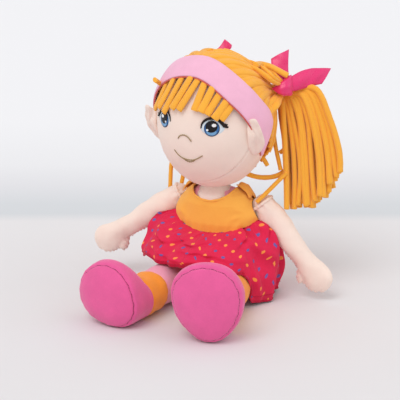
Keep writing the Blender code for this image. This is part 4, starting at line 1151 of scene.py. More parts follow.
def tied(side):
    """The ribbon round a tie, as the start of a bow, with the bow's middle and the ways there."""
    out, front, across = (HEAD_TURN.to_3x3() @ v for v in gather_axes(side))
    waist = HEAD_TURN @ TIES[side] - out * (TIE_LENGTH * 0.38)
    ring = [waist + wheel(front, across, a) * 0.0056 for a in parts(24)]
    shape = Shape()
    shape.rows([
        [p + out * (0.0026 * math.cos(a)) + (p - waist).normalized() * (0.0008 * math.sin(a)) for p in ring]
        for a in steps(13, 0.0, FULL_TURN)
    ])
    return shape, waist + front * (0.0053 + 0.0042), out, front, across


# The left bow in the picture. Each place has how much deeper than the bow's middle it lies.
LEFT_KNOT = (
    ((272.0, 88.2, 0.001), (272.4, 89.4, 0.001), 0.0006),
    ((276.7, 84.6, 0.0), (276.9, 93.0, 0.0), 0.0028),
    ((281.8, 81.0, 0.0), (282.0, 95.4, 0.0), 0.0044),
    ((286.9, 77.2, 0.001), (287.1, 95.9, 0.001), 0.0050),
    ((291.0, 74.7, 0.003), (291.5, 95.6, 0.003), 0.0040),
    ((292.3, 77.0, 0.006), (292.6, 93.0, 0.006), 0.0026),
)
LEFT_RIBBONS = (
    (0.0024,
     ((288.5, 78.0, 0.004), (300.2, 71.4, 0.006), (310.4, 68.5, 0.009), (320.6, 68.0, 0.011),
      (331.0, 68.4, 0.013)),
     ((289.5, 92.0, 0.004), (301.2, 89.4, 0.006), (310.4, 86.2, 0.008), (316.5, 85.0, 0.009),
      (321.8, 84.0, 0.010))),
    (0.0012,
     ((275.5, 83.0, 0.006), (271.8, 73.0, 0.008), (271.3, 65.0, 0.009), (271.0, 58.8, 0.010)),
     ((289.0, 80.0, 0.006), (288.4, 69.0, 0.008), (288.4, 60.0, 0.009), (289.0, 49.2, 0.011))),
    (0.0010,
     ((265.6, 69.4, 0.004), (270.0, 70.6, 0.004), (276.0, 73.6, 0.003), (283.0, 78.0, 0.003)),
     ((268.4, 74.4, 0.005), (271.5, 77.6, 0.004), (276.0, 80.4, 0.003), (281.0, 83.0, 0.003))),
)


def make_left_bow():
    shape, middle, *_ = tied(1)

    def at(x, y, deeper):
        return seen(x, y, middle - camera_back * deeper)

    knot(shape, [(at(*top), at(*bottom), thick) for top, bottom, thick in LEFT_KNOT], camera_back)
    for bow, upper, lower in LEFT_RIBBONS:
        strip(shape, [at(*p) for p in upper], [at(*p) for p in lower], bow)
    finished(shape.make("bow_left", satin), "head", "ribbon", ("bow_left",))


# The right bow's fold: how far out of the head, half height and half thickness
RIGHT_KNOT = (
    (-0.0085, 0.0008, 0.0008), (-0.0050, 0.0036, 0.0030), (0.0, 0.0062, 0.0042),
    (0.0040, 0.0074, 0.0044), (0.0062, 0.0060, 0.0028),
)
# Its tail that shows over the head, whose tips are places in the picture
RIGHT_TAIL = (
    (((0.001, 0.002, 0.006), (0.003, 0.012, 0.015)), ((214.6, 50.4), (224.6, 39.2))),
    (((0.003, 0.004, 0.001), (0.010, 0.018, 0.010)), ((227.4, 51.0), (232.0, 45.0))),
)
RIGHT_LOOP = (
    ((-0.001, 0.006, 0.004), (0.001, 0.013, 0.012), (0.003, 0.022, 0.013), (0.004, 0.033, 0.010)),
    ((-0.003, 0.007, -0.002), (-0.001, 0.013, 0.001), (0.000, 0.020, 0.000), (0.002, 0.026, -0.002)),
)


def make_right_bow():
    shape, middle, out, front, across = tied(-1)
    tall = upward(across.normalized())
    sections = []
    for far, half, thick in RIGHT_KNOT:
        section = middle + out * far
        sections.append((section + tall * half, section - tall * half, thick))
    knot(shape, sections, front)
    behind = middle + Vector((0.016, 0.022, 0.021))
    tail = [
        [middle + Vector(p) for p in near] + [seen(x, y, behind) for x, y in tips]
        for near, tips in RIGHT_TAIL
    ]
    strip(shape, *tail, 0.0015)
    strip(shape, *([middle + Vector(p) for p in edge] for edge in RIGHT_LOOP), 0.0015, -X)
    finished(shape.make("bow_right", satin), "head", "ribbon", ("bow_right",))


make_left_bow()
make_right_bow()


# Neck and torso

TORSO_HEIGHT = 0.086
TORSO_HALF_WIDTH = 0.033
TORSO_HALF_DEPTH = 0.024
TORSO_LEAN = 0.0147
# Shares of the height, and of the half width and half depth there
TORSO_SHARES = (
    (0.00, 0.80, 0.78), (0.03, 0.90, 0.88), (0.12, 0.98, 0.97), (0.40, 1.00, 1.00), (0.68, 0.98, 0.95),
    (0.85, 0.87, 0.80), (0.93, 0.72, 0.67), (0.98, 0.52, 0.52), (1.00, 0.34, 0.40),
)
HIP = {side: place(side * 0.021, 0.020, 0.016) for side, _ in SIDES}
SHOULDER = {side: place(side * 0.038, 0.007, 0.071) for side, _ in SIDES}


def torso_at(height, grow=0.0):
    """Middle, half width and half depth of the torso at a height, for a skin grown by grow."""
    share = min(max((height + grow) / (TORSO_HEIGHT + 2 * grow), 0.0), 1.0)
    for (s0, w0, d0), (s1, w1, d1) in zip(TORSO_SHARES, TORSO_SHARES[1:]):
        if share <= s1:
            t = (share - s0) / (s1 - s0)
            wide, deep = w0 + (w1 - w0) * t, d0 + (d1 - d0) * t
            break
    centre = Vector((0, -TORSO_LEAN * share, height))
    return centre, TORSO_HALF_WIDTH * wide + grow, TORSO_HALF_DEPTH * deep + grow


def outward(p, grow, rise):
    """The way out of the torso's section at a point, with a share of upward."""
    centre, wide, deep = torso_at(p.z, grow)
    return Vector(((p.x - centre.x) / wide, (p.y - centre.y) / deep, rise)).normalized()


def outside_torso(p, grow):
    centre, wide, deep = torso_at(p.z, grow)
    return ((p.x - centre.x) / wide) ** 2 + ((p.y - centre.y) / deep) ** 2 > 1


def seam_height(y):
    """The height of the dress's waist seam, which dips at the front and a little at the back."""
    ahead = (-0.0096 - y) / 0.0258
    return 0.0625 - 0.0112 * min(max(ahead, 0.0), 1.2) ** 1.4 - 0.0030 * min(max(-ahead, 0.0), 1.2)


def torso_surface(name, grow, sides=96, levels=60, low=None, seamed=False):
    """The torso's outside, grown by grow, from low or from the dress's waist seam up."""
    top = TORSO_HEIGHT + grow
    turns = parts(sides)
    starts = [-grow if low is None else low] * sides
    for _ in range(6 if seamed else 0):
        for k, turn in enumerate(turns):
            centre, wide, deep = torso_at(starts[k], grow)
            starts[k] = seam_height(centre.y + deep * math.sin(turn)) + 0.00015
    rows = []
    for j in range(levels + 1):
        share = 1 - (1 - j / levels) ** 1.6
        row = []
        for start, turn in zip(starts, turns):
            centre, wide, deep = torso_at(start + (top - start) * share, grow)
            row.append(centre + Vector((wide * math.cos(turn), deep * math.sin(turn), 0)))
        rows.append(row)
    return skin_over(name, pink, rows)


def ball(name, centre, radius):
    rows = []
    for j in range(1, 24):
        a = math.pi * j / 24
        ring = radius * math.sin(a)
        rows.append(ellipse(centre + Z * (radius * math.cos(a)), X, Y, ring, ring, 48))
    return skin_over(name, skin, rows, (centre + Z * radius, centre - Z * radius))


def make_torso():
    """A stuffed pouch with room for the legs' ends and the arms' ends."""
    body = torso_surface("torso", 0.0)
    hip, radius = HIP[1], 0.0163
    lap = [(hip.y + radius, -0.03)]
    lap += [(hip.y + radius * math.cos(a), hip.z + radius * math.sin(a)) for a in steps(13, 0.0, math.pi / 2)]
    lap += [(-0.09, hip.z + radius), (-0.09, -0.03)]
    room = skin_over("lap", skin, [[Vector((x, y, z)) for y, z in lap] for x in (-0.08, 0.08)])
    cut_away(body, room, *(ball("room", SHOULDER[side], 0.0104) for side, _ in SIDES))
    push(body, lambda p, n: n * (-0.0006 + 0.0004 * rough(p, 0.012)))
    finished(body, "torso", "pink_cloth", ("torso_cover", "torso_filling"))


def make_neck():
    rows = []
    for t in steps(28):
        radius = 0.0092 + 0.0028 * ease(0.35, 1.0, t) + 0.0050 * bell(t - 0.18, 0.26)
        centre = Vector((0, -0.015 - 0.0034 * bell(t - 0.16, 0.28), 0.0755 + 0.0245 * t))
        row = []
        for p in ellipse(centre, X, Y, radius, radius, 48):
            out = (p - centre).normalized()
            wrinkle = math.sin(math.atan2(out.y, out.x) * 9 + 6 * t)
            row.append(p + out * (0.0004 * wrinkle * bell(t - 0.35, 0.3)))
        rows.append(row)
    neck = skin_over("neck", skin, rows, (Vector((0, -0.015, 0.0755)), Vector((0, -0.015, 0.100))))
    finished(neck, "neck", "skin", ("neck_cover", "neck_filling"))


make_torso()
make_neck()


# Dress


def armhole(side, grow, radius):
    """The line where the armhole's ball meets the dress."""
    line = []
    for turn in parts(90):
        low, high = 0.0, math.pi * 0.98
        for _ in range(30):
            mid = (low + high) / 2
            p = SHOULDER[side] + wheel(X * side, wheel(Y, Z, turn), mid) * radius
            outside = p.z > TORSO_HEIGHT + grow or outside_torso(p, grow)
            low, high = (mid, high) if outside else (low, mid)
        line.append(SHOULDER[side] + wheel(X * side, wheel(Y, Z, turn), low) * radius)
    return line


# Half width and depth of the neck's opening, at the front and the back, and the height of its centre
NECK_CUT = {-1: (0.0185, 0.0108), 1: (0.0185, 0.0098)}
NECK_CUT_HEIGHT = 0.0888
YOKE_LIFT = 0.0018
SIDE_SEAM_Y = -0.0092


def neck_edge(grow):
    line = []
    for turn in parts(120):
        way = -1 if math.sin(turn) < 0 else 1
        half, deep = NECK_CUT[way]
        x, z = half * math.cos(turn), NECK_CUT_HEIGHT - deep * abs(math.sin(turn))
        centre, wide, depth = torso_at(z, grow)
        while z > TORSO_HEIGHT + grow or abs(x) > wide * 0.995:
            z -= 0.0002
            centre, wide, depth = torso_at(z, grow)
            x = math.copysign(half * math.sqrt(max(0.0, 1 - ((NECK_CUT_HEIGHT - z) / deep) ** 2)), x)
        line.append(Vector((x, centre.y + way * depth * math.sqrt(1 - (x / wide) ** 2), z)))
    return line


# Where each crease of the yoke starts, the way it runs, and its height
YOKE_CREASES = [
    (place(*start), Vector(way).normalized(), depth)
    for start, way, depth in (
        ((0.026, 0.028, 0.068), (-0.85, 0.0, -0.52), 0.0010),
        ((0.026, 0.028, 0.066), (-0.35, 0.0, -0.94), 0.0008),
        ((0.028, 0.026, 0.071), (-1.0, 0.0, 0.05), 0.0008),
        ((-0.027, 0.027, 0.068), (0.80, 0.0, -0.60), 0.0008),
        ((0.027, -0.006, 0.068), (-0.85, 0.1, -0.52), 0.0009),
        ((-0.027, -0.006, 0.068), (0.85, 0.1, -0.52), 0.0009),
    )
]


def crease(p):
    """How high the yoke's soft creases raise a point."""
    total = 0.0
    for start, way, depth in YOKE_CREASES:
        step = p - start
        far = step.length
        if far < 1e-6:
            continue
        along = step.dot(way)
        off = (step - way * along).length
        width = 0.0016 + 0.08 * max(along, 0)
        total += depth * bell(off, width) * ease(-0.002, 0.004, along) * ease(0.034, 0.008, far)
    return total


def yoke_move(p, n):
    lift = crease(p) + 0.0030 * ease(0.018, 0.031, abs(p.x)) * bell(p.z - 0.0655, 0.007)
    lift += 0.0005 * rough(p, 0.010) + 0.0004 * math.sin(p.x * 900) * ease(0.062, 0.056, p.z)
    return outward(p, YOKE_LIFT, 0.15) * max(lift, -0.0004)


def make_yoke(name, way):
    """A thin shell over the torso with openings for the neck and arms, kept in front or behind."""
    shell = torso_surface(f"dress_yoke_{name}", YOKE_LIFT, 128, 70, 0.055, True)
    inner = torso_surface("inside", YOKE_LIFT - 0.0009, 128, 70, 0.040)
    rows = [ellipse(Vector((0, y, NECK_CUT_HEIGHT)), X, Z, *NECK_CUT[way], 60) for y in (-0.06, 0.04)]
    openings = [skin_over("neck_cut", skin, rows)]
    openings += [ball("hole", SHOULDER[side], 0.0119) for side, _ in SIDES]
    cut_away(shell, inner, *openings)
    bm = open_mesh(shell.data)
    cut = keep_side(bm, Vector((0, SIDE_SEAM_Y, 0)) + Y * (way * 0.0001), Y * way)
    edges = [e for e in cut["geom_cut"] if isinstance(e, bmesh.types.BMEdge)]
    bmesh.ops.holes_fill(bm, edges=edges, sides=0)
    bmesh.ops.recalc_face_normals(bm, faces=bm.faces)
    close_mesh(bm, shell.data)
    shell.data.materials.clear()
    shell.data.materials.append(yoke_cloth)
    push(shell, yoke_move)
    return finished(shell, "torso", "yoke_cloth", (f"dress_yoke_{name}",))


def make_hems():
    """Rolled edges round the neck and the arms."""
    shape = Shape()
    lines = [armhole(side, YOKE_LIFT - 0.0003, 0.0120) for side, _ in SIDES]
    for line in (*lines, neck_edge(YOKE_LIFT - 0.0002)):
        rows = []
        for k, p in enumerate(line):
            along = (line[(k + 1) % len(line)] - line[k - 1]).normalized()
            side = along.cross(outward(p, YOKE_LIFT, 0.3)).normalized()
            size = 0.00095 * (1 + 0.10 * math.sin(k * 0.8))
            rows.append(ellipse(p, side, along.cross(side), size, size * 0.85, 10))
        shape.rows(rows + rows[:1])
    return finished(shape.make("dress_hems", yoke_cloth), "torso", "yoke_cloth")


yokes = {name: make_yoke(name, way) for name, way in (("front", -1), ("back", 1))}
yoke_trim = make_hems()


def make_tab(side, name):
    """A gathered, puffed band that lies over the yoke's shoulder."""
    rows = []
    for t in steps(40):
        y = -0.0168 + 0.0236 * t
        row = []
        for s in steps(17):
            x = side * (0.0180 + 0.0112 * s + 0.0004 * math.sin(t * 19))
            low, high = 0.055, 0.0895
            for _ in range(24):
                mid = (low + high) / 2
                low, high = (low, mid) if outside_torso(Vector((x, y, mid)), 0.0030) else (mid, high)
            wave = 0.0005 * math.sin(t * 19 + 1.5 * side) * (0.25 + 0.75 * abs(2 * s - 1) ** 1.5)
            puff = 0.0028 * max(math.sin(math.pi * t), 0.0) ** 0.6 * max(math.sin(math.pi * s), 0.0) ** 0.7
            row.append(Vector((x, y, low + 0.0012 + wave + puff)))
        rows.append(row)
    tab = sheet_over(f"shoulder_tab_{name}", yoke_cloth, rows, 0.0008)
    return finished(tab, "torso", "yoke_cloth", (f"shoulder_tab_{name}",))


tabs = [make_tab(side, name) for side, name in SIDES]


# Degrees from the front, and the height of the skirt's hem there
HEM_HEIGHTS = (
    (-180.0, 0.003), (-125.0, 0.003), (-78.0, 0.027), (-35.0, 0.0345),
    (20.0, 0.0345), (47.0, 0.029), (62.0, 0.003), (180.0, 0.003),
)
ARM_ALONG = {
    1: Vector((0.640, 0.047, -0.766)).normalized(),
    -1: Vector((-0.796, -0.254, -0.549)).normalized(),
}
ARM_LENGTH = 0.081
ARM_RADIUS = 0.0092
LEG_LENGTH = 0.112
# How near the skirt comes to the middle of a limb
ARM_CLEARANCE = 0.0101
LEG_CLEARANCE = 0.0168
LEG_YAW = {1: math.radians(13.0), -1: math.radians(-3.5)}


def table_at(table, value):
    for (low, first), (high, second) in zip(table, table[1:]):
        if value <= high:
            return first + (second - first) * ease(low, high, value)
    return table[-1][1]


def leg_along(side):
    return Vector((math.sin(LEG_YAW[side]), -math.cos(LEG_YAW[side]), 0.0))


def pressed(point, start, along, length, clearance):
    """The point, moved out to a clearance from a limb that runs along a line."""
    distance = min(max((point - start).dot(along), 0.0), length)
    middle = start + along * distance
    away = point - middle
    return middle + away.normalized() * max(away.length, clearance)


# Folds of the skirt: degrees from the front and share of the drop at both ends, half width and height
FOLDS = (
    (-66, 0.10, -22, 0.62, 0.0045, 0.0026), (-40, 0.08, 8, 0.50, 0.0040, 0.0022),
    (8, 0.04, -16, 0.48, 0.0032, -0.0026), (36, 0.08, 16, 0.60, 0.0042, 0.0022),
    (62, 0.04, 44, 0.50, 0.0034, -0.0030), (74, 0.10, 96, 0.74, 0.0046, 0.0030),
    (46, 0.28, 88, 0.64, 0.0036, 0.0026), (-84, 0.12, -66, 0.82, 0.0044, 0.0026),
    (-14, 0.56, 48, 0.70, 0.0036, 0.0022), (24, 0.42, -52, 0.64, 0.0034, -0.0022),
    (104, 0.12, 116, 0.84, 0.0046, 0.0030), (-50, 0.66, 6, 0.84, 0.0034, 0.0020),
    (56, 0.62, 70, 0.96, 0.0036, 0.0024), (-104, 0.10, -118, 0.90, 0.0046, 0.0028),
    (-140, 0.08, -132, 0.92, 0.0050, 0.0026), (140, 0.08, 150, 0.92, 0.0050, 0.0026),
    (172, 0.08, 166, 0.90, 0.0048, 0.0026), (-165, 0.08, -172, 0.86, 0.0046, -0.0022),
    (18, 0.03, 22, 0.26, 0.0018, -0.0022), (-24, 0.03, -30, 0.30, 0.0018, -0.0022),
    (50, 0.03, 58, 0.30, 0.0020, -0.0026), (33, 0.03, 30, 0.22, 0.0016, -0.0020),
    (-8, 0.03, -4, 0.24, 0.0018, -0.0018), (80, 0.03, 78, 0.40, 0.0022, -0.0026),
)
SKIRT_RADIUS = 0.050
SKIRT_DROP = 0.048
# The radius at which the skirt's print has its true width
PRINT_RADIUS = 0.0540


def fold_lift(angle, t):
    here = Vector((angle * SKIRT_RADIUS, t * SKIRT_DROP))
    total = 0.0
    for a0, t0, a1, t1, width, height in FOLDS:
        start = Vector((math.radians(a0) * SKIRT_RADIUS, t0 * SKIRT_DROP))
        way = Vector((math.radians(a1) * SKIRT_RADIUS, t1 * SKIRT_DROP)) - start
        share = min(max((here - start).dot(way) / way.length_squared, 0.0), 1.0)
        off = (here - start - way * share).length
        strength = 0.35 + 0.65 * math.sin(math.pi * (0.15 + 0.75 * share))
        total += 1.75 * height * bell(off, 0.86 * width) * strength
    return total


def skirt_point(angle, t):
    """A point of the skirt, by its angle from the front and its share of the way down to the hem."""
    centre, wide, deep = torso_at(0.0557, 0.0)
    out = Vector((math.sin(angle), -math.cos(angle), 0.0))
    degrees = math.degrees(angle)
    top = centre + Vector((out.x * (wide + 0.0015), out.y * (deep + 0.0015), 0.0))
    top.z = seam_height(top.y) + 0.0009
    hem_height = table_at(HEM_HEIGHTS, degrees) + 0.0010 * math.sin(angle * 7 + 1)
    hem = place(-0.002 + out.x * 0.053, 0.0195, hem_height)
    hem.y += out.y * 0.046
    behind = ease(70, 130, abs(degrees))
    puffed = top + out * (0.009 - 0.0065 * behind)
    hanging = hem + out * (0.0088 - 0.0030 * behind) + Z * ((top.z - hem.z) * 0.45)
    p = top * (1 - t) ** 3 + puffed * (3 * t * (1 - t) ** 2) + hanging * (3 * t * t * (1 - t)) + hem * t**3
    wander = angle + 0.16 * t * math.sin(angle * 3 + 0.5)
    fold = math.cos(9 * wander) + 0.5 * math.cos(5 * wander + 1.0)
    lift = 0.0016 * fold * math.sin(math.pi / 2 * min(1.0, 2 * t))
    lift += 0.0011 * math.sin(17 * wander + 2 * math.sin(3 * angle)) * ease(0.05, 0.35, t)
    gathers = math.sin(34 * angle + 2.4 * math.sin(5 * angle))
    lift += 0.0030 * gathers * ease(0.0, 0.05, t) * ease(0.42, 0.08, t)
    lift += fold_lift(angle, t) * ease(0.0, 0.06, t)
    lift += 0.0026 * math.sin(math.pi * min(t / 0.60, 1.0)) - 0.0014 * bell(t - 0.64, 0.10)
    lift += (0.0034 - 0.0050 * ease(30, 70, degrees) * ease(150, 110, degrees)) * ease(0.70, 1.0, t)
    p = p + out * (lift + 0.0007 * rough(p, 0.014))
    for side, _ in SIDES:
        p = pressed(p, SHOULDER[side], ARM_ALONG[side], ARM_LENGTH, ARM_CLEARANCE)
        p = pressed(p, HIP[side], leg_along(side), LEG_LENGTH, LEG_CLEARANCE)
    p.z = max(p.z, 0.0012)
    return p


def make_skirt(side, name):
    """Half of the skirt, with its hem and the hem's stitches; its UVs are its flat cloth in metres."""
    levels, sides = 44, 190
    angles = [side * math.pi * k / sides for k in range(sides + 1)]
    runs = [0.0] * (sides + 1)
    rows, uvs = [], []
    for t in steps(levels + 1):
        row = [skirt_point(a, t) for a in angles]
        if rows:
            runs = [r + (p - q).length for r, p, q in zip(runs, row, rows[-1])]
        rows.append(row)
        uvs.append([(PRINT_RADIUS * a, 0.5 * run + 0.5 * sum(runs) / len(runs)) for a, run in zip(angles, runs)])
    shape = Shape()
    shape.rows(rows, False, uvs=uvs)
    half = shape.make(f"skirt_{name}", skirt_cloth)
    inside = Vector((0, -0.015, 0.03))
    faces = [half.data.polygons[k] for k in range(0, len(half.data.polygons), 50)]
    if sum(face.normal.dot(face.center - inside) for face in faces) < 0:
        half.data.flip_normals()
    smooth_verts(half, 1)
    thicken(half, 0.0009)

    hem = Shape()
    hem.cord(rows[-1], 0.0008, 0.0008, 8)
    line = [skirt_point(a, 0.935) for a in angles]
    for k in range(0, sides - 2, 3):
        out = Vector((math.sin(angles[k]), -math.cos(angles[k]), 0.0)) * 0.0003
        stitch = [line[k] + out, line[k + 1] + out, line[k + 2] * 0.7 + line[k + 1] * 0.3 + out]
        hem.cord(stitch, 0.00028, 0.00022, 5)
    trim = hem.make(f"skirt_hem_{name}", hem_cloth)
    for obj in (half, trim):
        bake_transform(obj)
    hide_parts("skirt")
    return half, trim


skirts = [make_skirt(side, name) for side, name in SIDES]


# Arms

# The rounded end in the armhole: distance from the shoulder, half width and half depth
ARM_ROOT = (
    (-0.0098, 0.0030, 0.0030), (-0.0082, 0.0062, 0.0060),
    (-0.0042, 0.0086, 0.0084), (0.0, 0.0091, 0.0089),
)
# From the shoulder: share of the length, and of the radius across and through the hand's flat
ARM_SHARES = (
    (0.10, 1.14, 1.00), (0.28, 1.12, 1.00), (0.48, 0.96, 0.96), (0.64, 0.93, 0.88),
    (0.76, 1.14, 0.82), (0.87, 1.30, 0.76), (0.95, 1.02, 0.58),
)
SEAM_SHARES = (1.0, 1.14, 1.12, 0.98, 0.93, 1.12, 1.28, 0.70)


def make_arm(side, name):
    pivot, along = SHOULDER[side], ARM_ALONG[side]
    thick = along.cross(Z).normalized()
    wide = thick.cross(along).normalized()
    stations = list(ARM_ROOT)
    stations += [(ARM_LENGTH * d, ARM_RADIUS * w, ARM_RADIUS * t) for d, w, t in ARM_SHARES]
    stations += [(0.0805, 0.0034, 0.0026)]
    smooth = spline([Vector(s) for s in stations], 5)
    rows = [ellipse(pivot + along * s.x, wide, thick, max(s.y, 0.001), max(s.z, 0.001), 32) for s in smooth]
    shape = Shape()
    shape.rows(rows, True, pivot - along * 0.0100, pivot + along * ARM_LENGTH)
    root = pivot + along * (ARM_LENGTH * 0.74) - wide * ARM_RADIUS
    lean = (along * 0.75 - wide).normalized()
    ways = around(lean)
    reach, radius = 0.0078, 0.0050
    thumb = []
    for j in range(1, 16):
        a = math.pi * j / 16
        ring = radius * math.sin(a)
        thumb.append(ellipse(root + lean * (reach * -math.cos(a)), *ways, ring, ring, 24))
    shape.rows(thumb, True, root - lean * reach, root + lean * reach)
    arm = fused(shape.make(f"arm_{name}", skin), 0.0008)
    smooth_verts(arm, 3)

    def move(p, n):
        """The seam's groove and puckers, soft lumps, and gathers at the shoulder."""
        step = p - pivot
        run, rise, off = step.dot(along), step.dot(wide), step.dot(thick)
        keep = ease(-0.004, 0.006, run) * (1.0 if rise < 0 else 0.12)
        lift = -0.0012 * bell(off, 0.0011) * keep
        waves = math.sin(run * 2300 + (2.0 if rise > 0 else 0.0) + 2 * rough((run, 0, 0), 0.01))
        lift += 0.00060 * waves * bell(off, 0.0040) * keep
        lift += 0.0011 * rough(p, 0.010, side) * ease(0, 0.01, run)
        lift += 0.00045 * math.sin(math.atan2(off, rise) * 8) * ease(0.006, -0.003, run)
        return n * lift

    push(arm, move)
    finished(arm, f"arm_{name}", "skin", (f"arm_cover_{name}", f"arm_filling_{name}"))

    # Stitches along the seam, their thread darkened as painted shade of the seam's line
    thread = Shape()
    run = 0.004
    while run < 0.078:
        if not 0.052 < run < 0.076:
            off = wide * (0.0004 - ARM_RADIUS * between(SEAM_SHARES, run / ARM_LENGTH))
            thread.cord([pivot + along * r + off for r in (run, run + 0.0011)], 0.00022, 0.00022, 5)
        run += 0.0026
    finished(thread.make(f"arm_seam_stitches_{name}", arm_thread_painted_shade), f"arm_{name}", "skin")

    ring = []
    for a in steps(97, 0.0, FULL_TURN):
        out = wheel(wide, thick, a)
        size = 0.0012 * (1 + 0.15 * math.sin(a * 17))
        ring.append(ellipse(pivot + out * 0.0090 - along * 0.0036, out, along, size, size * 1.1, 10))
    gathers = Shape()
    gathers.rows(ring)
    seam = gathers.make(f"shoulder_seam_{name}", skin)
    finished(seam, f"shoulder_{name}", "skin", (f"shoulder_seam_{name}",))


for side, name in SIDES:
    make_arm(side, name)


# Legs

RING = 64
LEG_COVER_END = {1: 0.027, -1: 0.059}
BOOT_ROLL = {1: math.radians(-6.0), -1: math.radians(-52.0)}
BOOT_EGG = {1: (0.0265, 0.0300, 0.0140), -1: (0.0245, 0.0268, 0.0118)}
# The boot's rings: distance from the hip, growth from the ankle's circle to the foot's egg, and size
BOOT_RINGS = (
    (0.0812, 0.0, 0.95), (0.0826, 0.02, 1.0), (0.08601, 0.42, 1.0), (0.090725, 0.76, 1.0),
    (0.09626, 0.97, 1.0), (0.1020, 1.0, 0.985), (0.1055, 1.0, 0.90), (0.1085, 1.0, 0.74),
    (0.1108, 1.0, 0.47), (0.1118, 1.0, 0.16),
)
BOOT_STEPS = 7
BOOT_SEAM_ROW = 5 * BOOT_STEPS + 6


def leg_axes(side):
    along = leg_along(side)
    return along, Z.cross(along).normalized()


def boot_ring(side, distance, grown, size):
    along, wide = leg_axes(side)
    centre = HIP[side] + along * distance
    half_wide, half_tall, rise = BOOT_EGG[side]
    roll = BOOT_ROLL[side]
    ring = []
    for a in parts(RING):
        circle = Vector((math.cos(a), math.sin(a))) * 0.0155
        taper = 1 + 0.17 * math.sin(a)
        egg = Vector((half_wide * size * taper * math.cos(a), rise + half_tall * size * math.sin(a)))
        p = circle.lerp(egg, grown)
        across = p.x * math.cos(roll) + p.y * math.sin(roll)
        up = -p.x * math.sin(roll) + p.y * math.cos(roll)
        ring.append(centre + wide * across + Z * up)
    return ring


def floored(p):
    """Cloth that rests on the floor flattens on it, with a soft edge."""
    if p.z < 0.0016:
        p.z = 0.0002 + 0.0014 * math.exp((p.z - 0.0016) / 0.0014)
    return p


def tube(side, name, stations, material, slot, nodes, wrinkle):
    """A stuffed tube round the leg: distance from the hip, radius, and share of pleats at each station."""
    along, wide = leg_axes(side)
    rows = []
    for s in spline([Vector(s) for s in stations], 8):
        centre = HIP[side] + along * s.x
        row = []
        for p in ellipse(centre, wide, Z, s.y, s.y, RING):
            out = (p - centre).normalized()
            pleat = math.sin(math.atan2(out.z, out.x + out.y) * 13) * s.z
            row.append(floored(p + out * (wrinkle * rough(p, 0.010, side) + 0.15 * wrinkle * pleat)))
        rows.append(row)
    limb = "left" if side > 0 else "right"
    piece = skin_over(f"{name}_{limb}", material, rows)
    finished(piece, f"leg_{limb}", slot, [f"{n}_{limb}" for n in nodes])


def make_boot(side, name):
    along, _ = leg_axes(side)
    rows = columns_filled([boot_ring(side, *ring) for ring in BOOT_RINGS], BOOT_STEPS)
    for j, row in enumerate(rows):
        centre = mean(row)
        for k, p in enumerate(row):
            out = (p - centre).normalized()
            off = (j - BOOT_SEAM_ROW) * 0.0009
            lift = -0.0009 * bell(off, 0.0008) + 0.0004 * bell(abs(off) - 0.0026, 0.0018)
            waves = math.sin(k * FULL_TURN / RING * 21 + 2 * rough((k, j * 0.1, 0), 9))
            lift += 0.00045 * waves * math.exp(-abs(off) / 0.003)
            lift += 0.0006 * rough(p, 0.013, side + 3)
            way = (out * 0.8 + along * (0.6 if j > BOOT_SEAM_ROW else -0.1)).normalized()
            row[k] = floored(p + way * lift)
        if j == BOOT_SEAM_ROW:
            seam_line = [p + (p - centre).normalized() * 0.0003 for p in row]
    boot = skin_over(f"boot_{name}", boot_cloth, rows, (mean(rows[0]), mean(rows[-1]) + along * 0.0003))
    finished(boot, f"leg_{name}", "boot_cloth", (f"boot_upper_{name}", f"boot_sole_{name}"))

    stitches = Shape()
    for a, b in zip(seam_line, seam_line[1:] + seam_line[:1]):
        if min(a.z, b.z) >= 0.002:
            stitches.cord([a.lerp(b, 0.18), a.lerp(b, 0.74)], 0.00030, 0.00030, 6)
    finished(stitches.make(f"boot_stitches_{name}", boot_seam), f"leg_{name}", "boot_cloth")


def make_leg(side, name):
    along, wide = leg_axes(side)
    end = LEG_COVER_END[side]
    stations = [(-0.0135, 0.0040, 1), (-0.0110, 0.0085, 1), (-0.0060, 0.0125, 1), (0.0, 0.0141, 1)]
    stations += [(0.018, 0.0153, 0), (end - 0.016, 0.0152, 0)]
    stations += [(end - 0.002, 0.0151, 0), (end - 0.0003, 0.0143, 0)]
    tube(side, "leg", stations, pink, "pink_cloth", ("leg_cover", "leg_filling"), 0.0007)
    stations = [(end - 0.0007, 0.0142, 0), (end + 0.0008, 0.0153, 1), (end + 0.004, 0.0157, 1)]
    stations += [(0.070, 0.0153, 0), (0.0785, 0.0156, 1), (0.0822, 0.0146, 1)]
    tube(side, "cuff", stations, cuff_cloth, "cuff_cloth", ("cuff",), 0.0008)
    make_boot(side, name)

    ring = []
    for a in steps(49, math.radians(-20), math.radians(200)):
        out = wheel(wide, Z, a)
        size = 0.0008 * (1 + 0.3 * math.sin(a * 19))
        ring.append(ellipse(HIP[side] + out * 0.0148 - along * 0.0016, out, along, size, size, 8))
    seam = skin_over(f"hip_seam_{name}", pink, ring)
    finished(seam, f"hip_{name}", "pink_cloth", (f"hip_seam_{name}",))


for side, name in SIDES:
    make_leg(side, name)


# Cloth facts: each sheet's flat size, how it is held, what it rests on and its trim


def cloth_area(obj):
    return sum(p.area for p in obj.data.polygons) / 2


SHEETS = (
    (band, (0.200, 0.021), "stretched", ["head"], [band_trim]),
    (yokes["front"], (0.090, 0.036), "stretched", ["torso"], [yoke_trim]),
    (yokes["back"], (0.072, 0.034), "stretched", ["torso"], []),
    *((tab, (0.044, 0.016), "gathered", ["dress_yoke_front"], []) for tab in tabs),
    *((half, (0.200, 0.072), "gathered", ["torso"], [trim]) for half, trim in skirts),
)
for sheet, flat, held, rests, extra in SHEETS:
    cloth_area(sheet)
    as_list(rests)
    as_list(extra)


# Floor, light and background

FLOOR = rgb(227, 225, 227)
FAR = rgb(237, 237, 240)
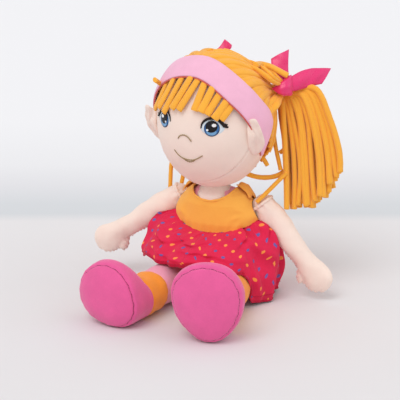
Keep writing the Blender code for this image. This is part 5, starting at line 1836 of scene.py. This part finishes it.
# The floor's tone by how far behind the doll it lies, in metres: a painted shadow band where a backdrop would
# bend up, which fades to the far backdrop's colour
FLOOR_PAINTED_SHADE = (
    (0.172, (227, 226, 228)), (0.198, (210, 213, 217)), (0.230, (211, 214, 218)), (0.300, (222, 222, 226)),
    (0.385, (231, 231, 234)), (0.480, (234, 234, 237)), (0.600, (237, 237, 240)),
)


def make_floor():
    bm = bmesh.new()
    bmesh.ops.create_grid(bm, x_segments=1, y_segments=1, size=6.0)
    mesh = bpy.data.meshes.new("floor")
    close_mesh(bm, mesh)
    t = Tree("floor")
    away = Vector((-math.sin(CAMERA_TURN), math.cos(CAMERA_TURN), 0))
    run = t.vector("DOT_PRODUCT", {0: t.places["Object"], 1: away}, out=1)
    grain = t.noise(t.places["Object"], 9.0, 3.0)
    base = t.mix(t.span(grain, 0.3, 0.7), shades(FLOOR, 0.985, 1)[0], FLOOR)
    # Painted shade: the darker band behind the doll and its fading are laid into the floor's colour by distance
    for (low, _), (high, tone) in zip(FLOOR_PAINTED_SHADE, FLOOR_PAINTED_SHADE[1:]):
        base = t.mix(t.span(run, low, high), base, rgb(*tone))
    t.surface(Base_Color=base, Roughness=0.9, Specular_IOR_Level=0.1)
    mesh.materials.append(t.material)
    floor = linked("floor", mesh)
    floor.location = (0, 0, -0.0001)


def make_light():
    """An even sky, seen by the camera as the far backdrop, and two soft suns."""
    world = bpy.data.worlds.new("studio")
    bpy.context.scene.world = world
    world.use_nodes = True
    tree = world.node_tree
    skies = (tree.nodes["Background"], tree.nodes.new("ShaderNodeBackground"))
    for sky, colour, strength in zip(skies, ((1.0, 1.0, 1.0), FAR), (0.76, 1.0)):
        sky.inputs["Color"].default_value = (*colour, 1.0)
        sky.inputs["Strength"].default_value = strength
    path = tree.nodes.new("ShaderNodeLightPath")
    mixer = tree.nodes.new("ShaderNodeMixShader")
    tree.links.new(path.outputs["Is Camera Ray"], mixer.inputs[0])
    for k, sky in enumerate(skies):
        tree.links.new(sky.outputs[0], mixer.inputs[k + 1])
    tree.links.new(mixer.outputs[0], tree.nodes["World Output"].inputs["Surface"])
    # Each sun's turn from the camera and rise in degrees, its strength, and its spread in degrees
    for name, turn, rise, strength, spread in (("key", -30, 52, 1.00, 35), ("fill", 75, 35, 0.30, 60)):
        data = bpy.data.lights.new(name, "SUN")
        data.energy = strength
        data.angle = math.radians(spread)
        linked(name, data, aimed(CAMERA_TURN + math.radians(turn), math.radians(rise)))


make_floor()
make_light()

bpy.context.scene.view_settings.view_transform = "Standard"
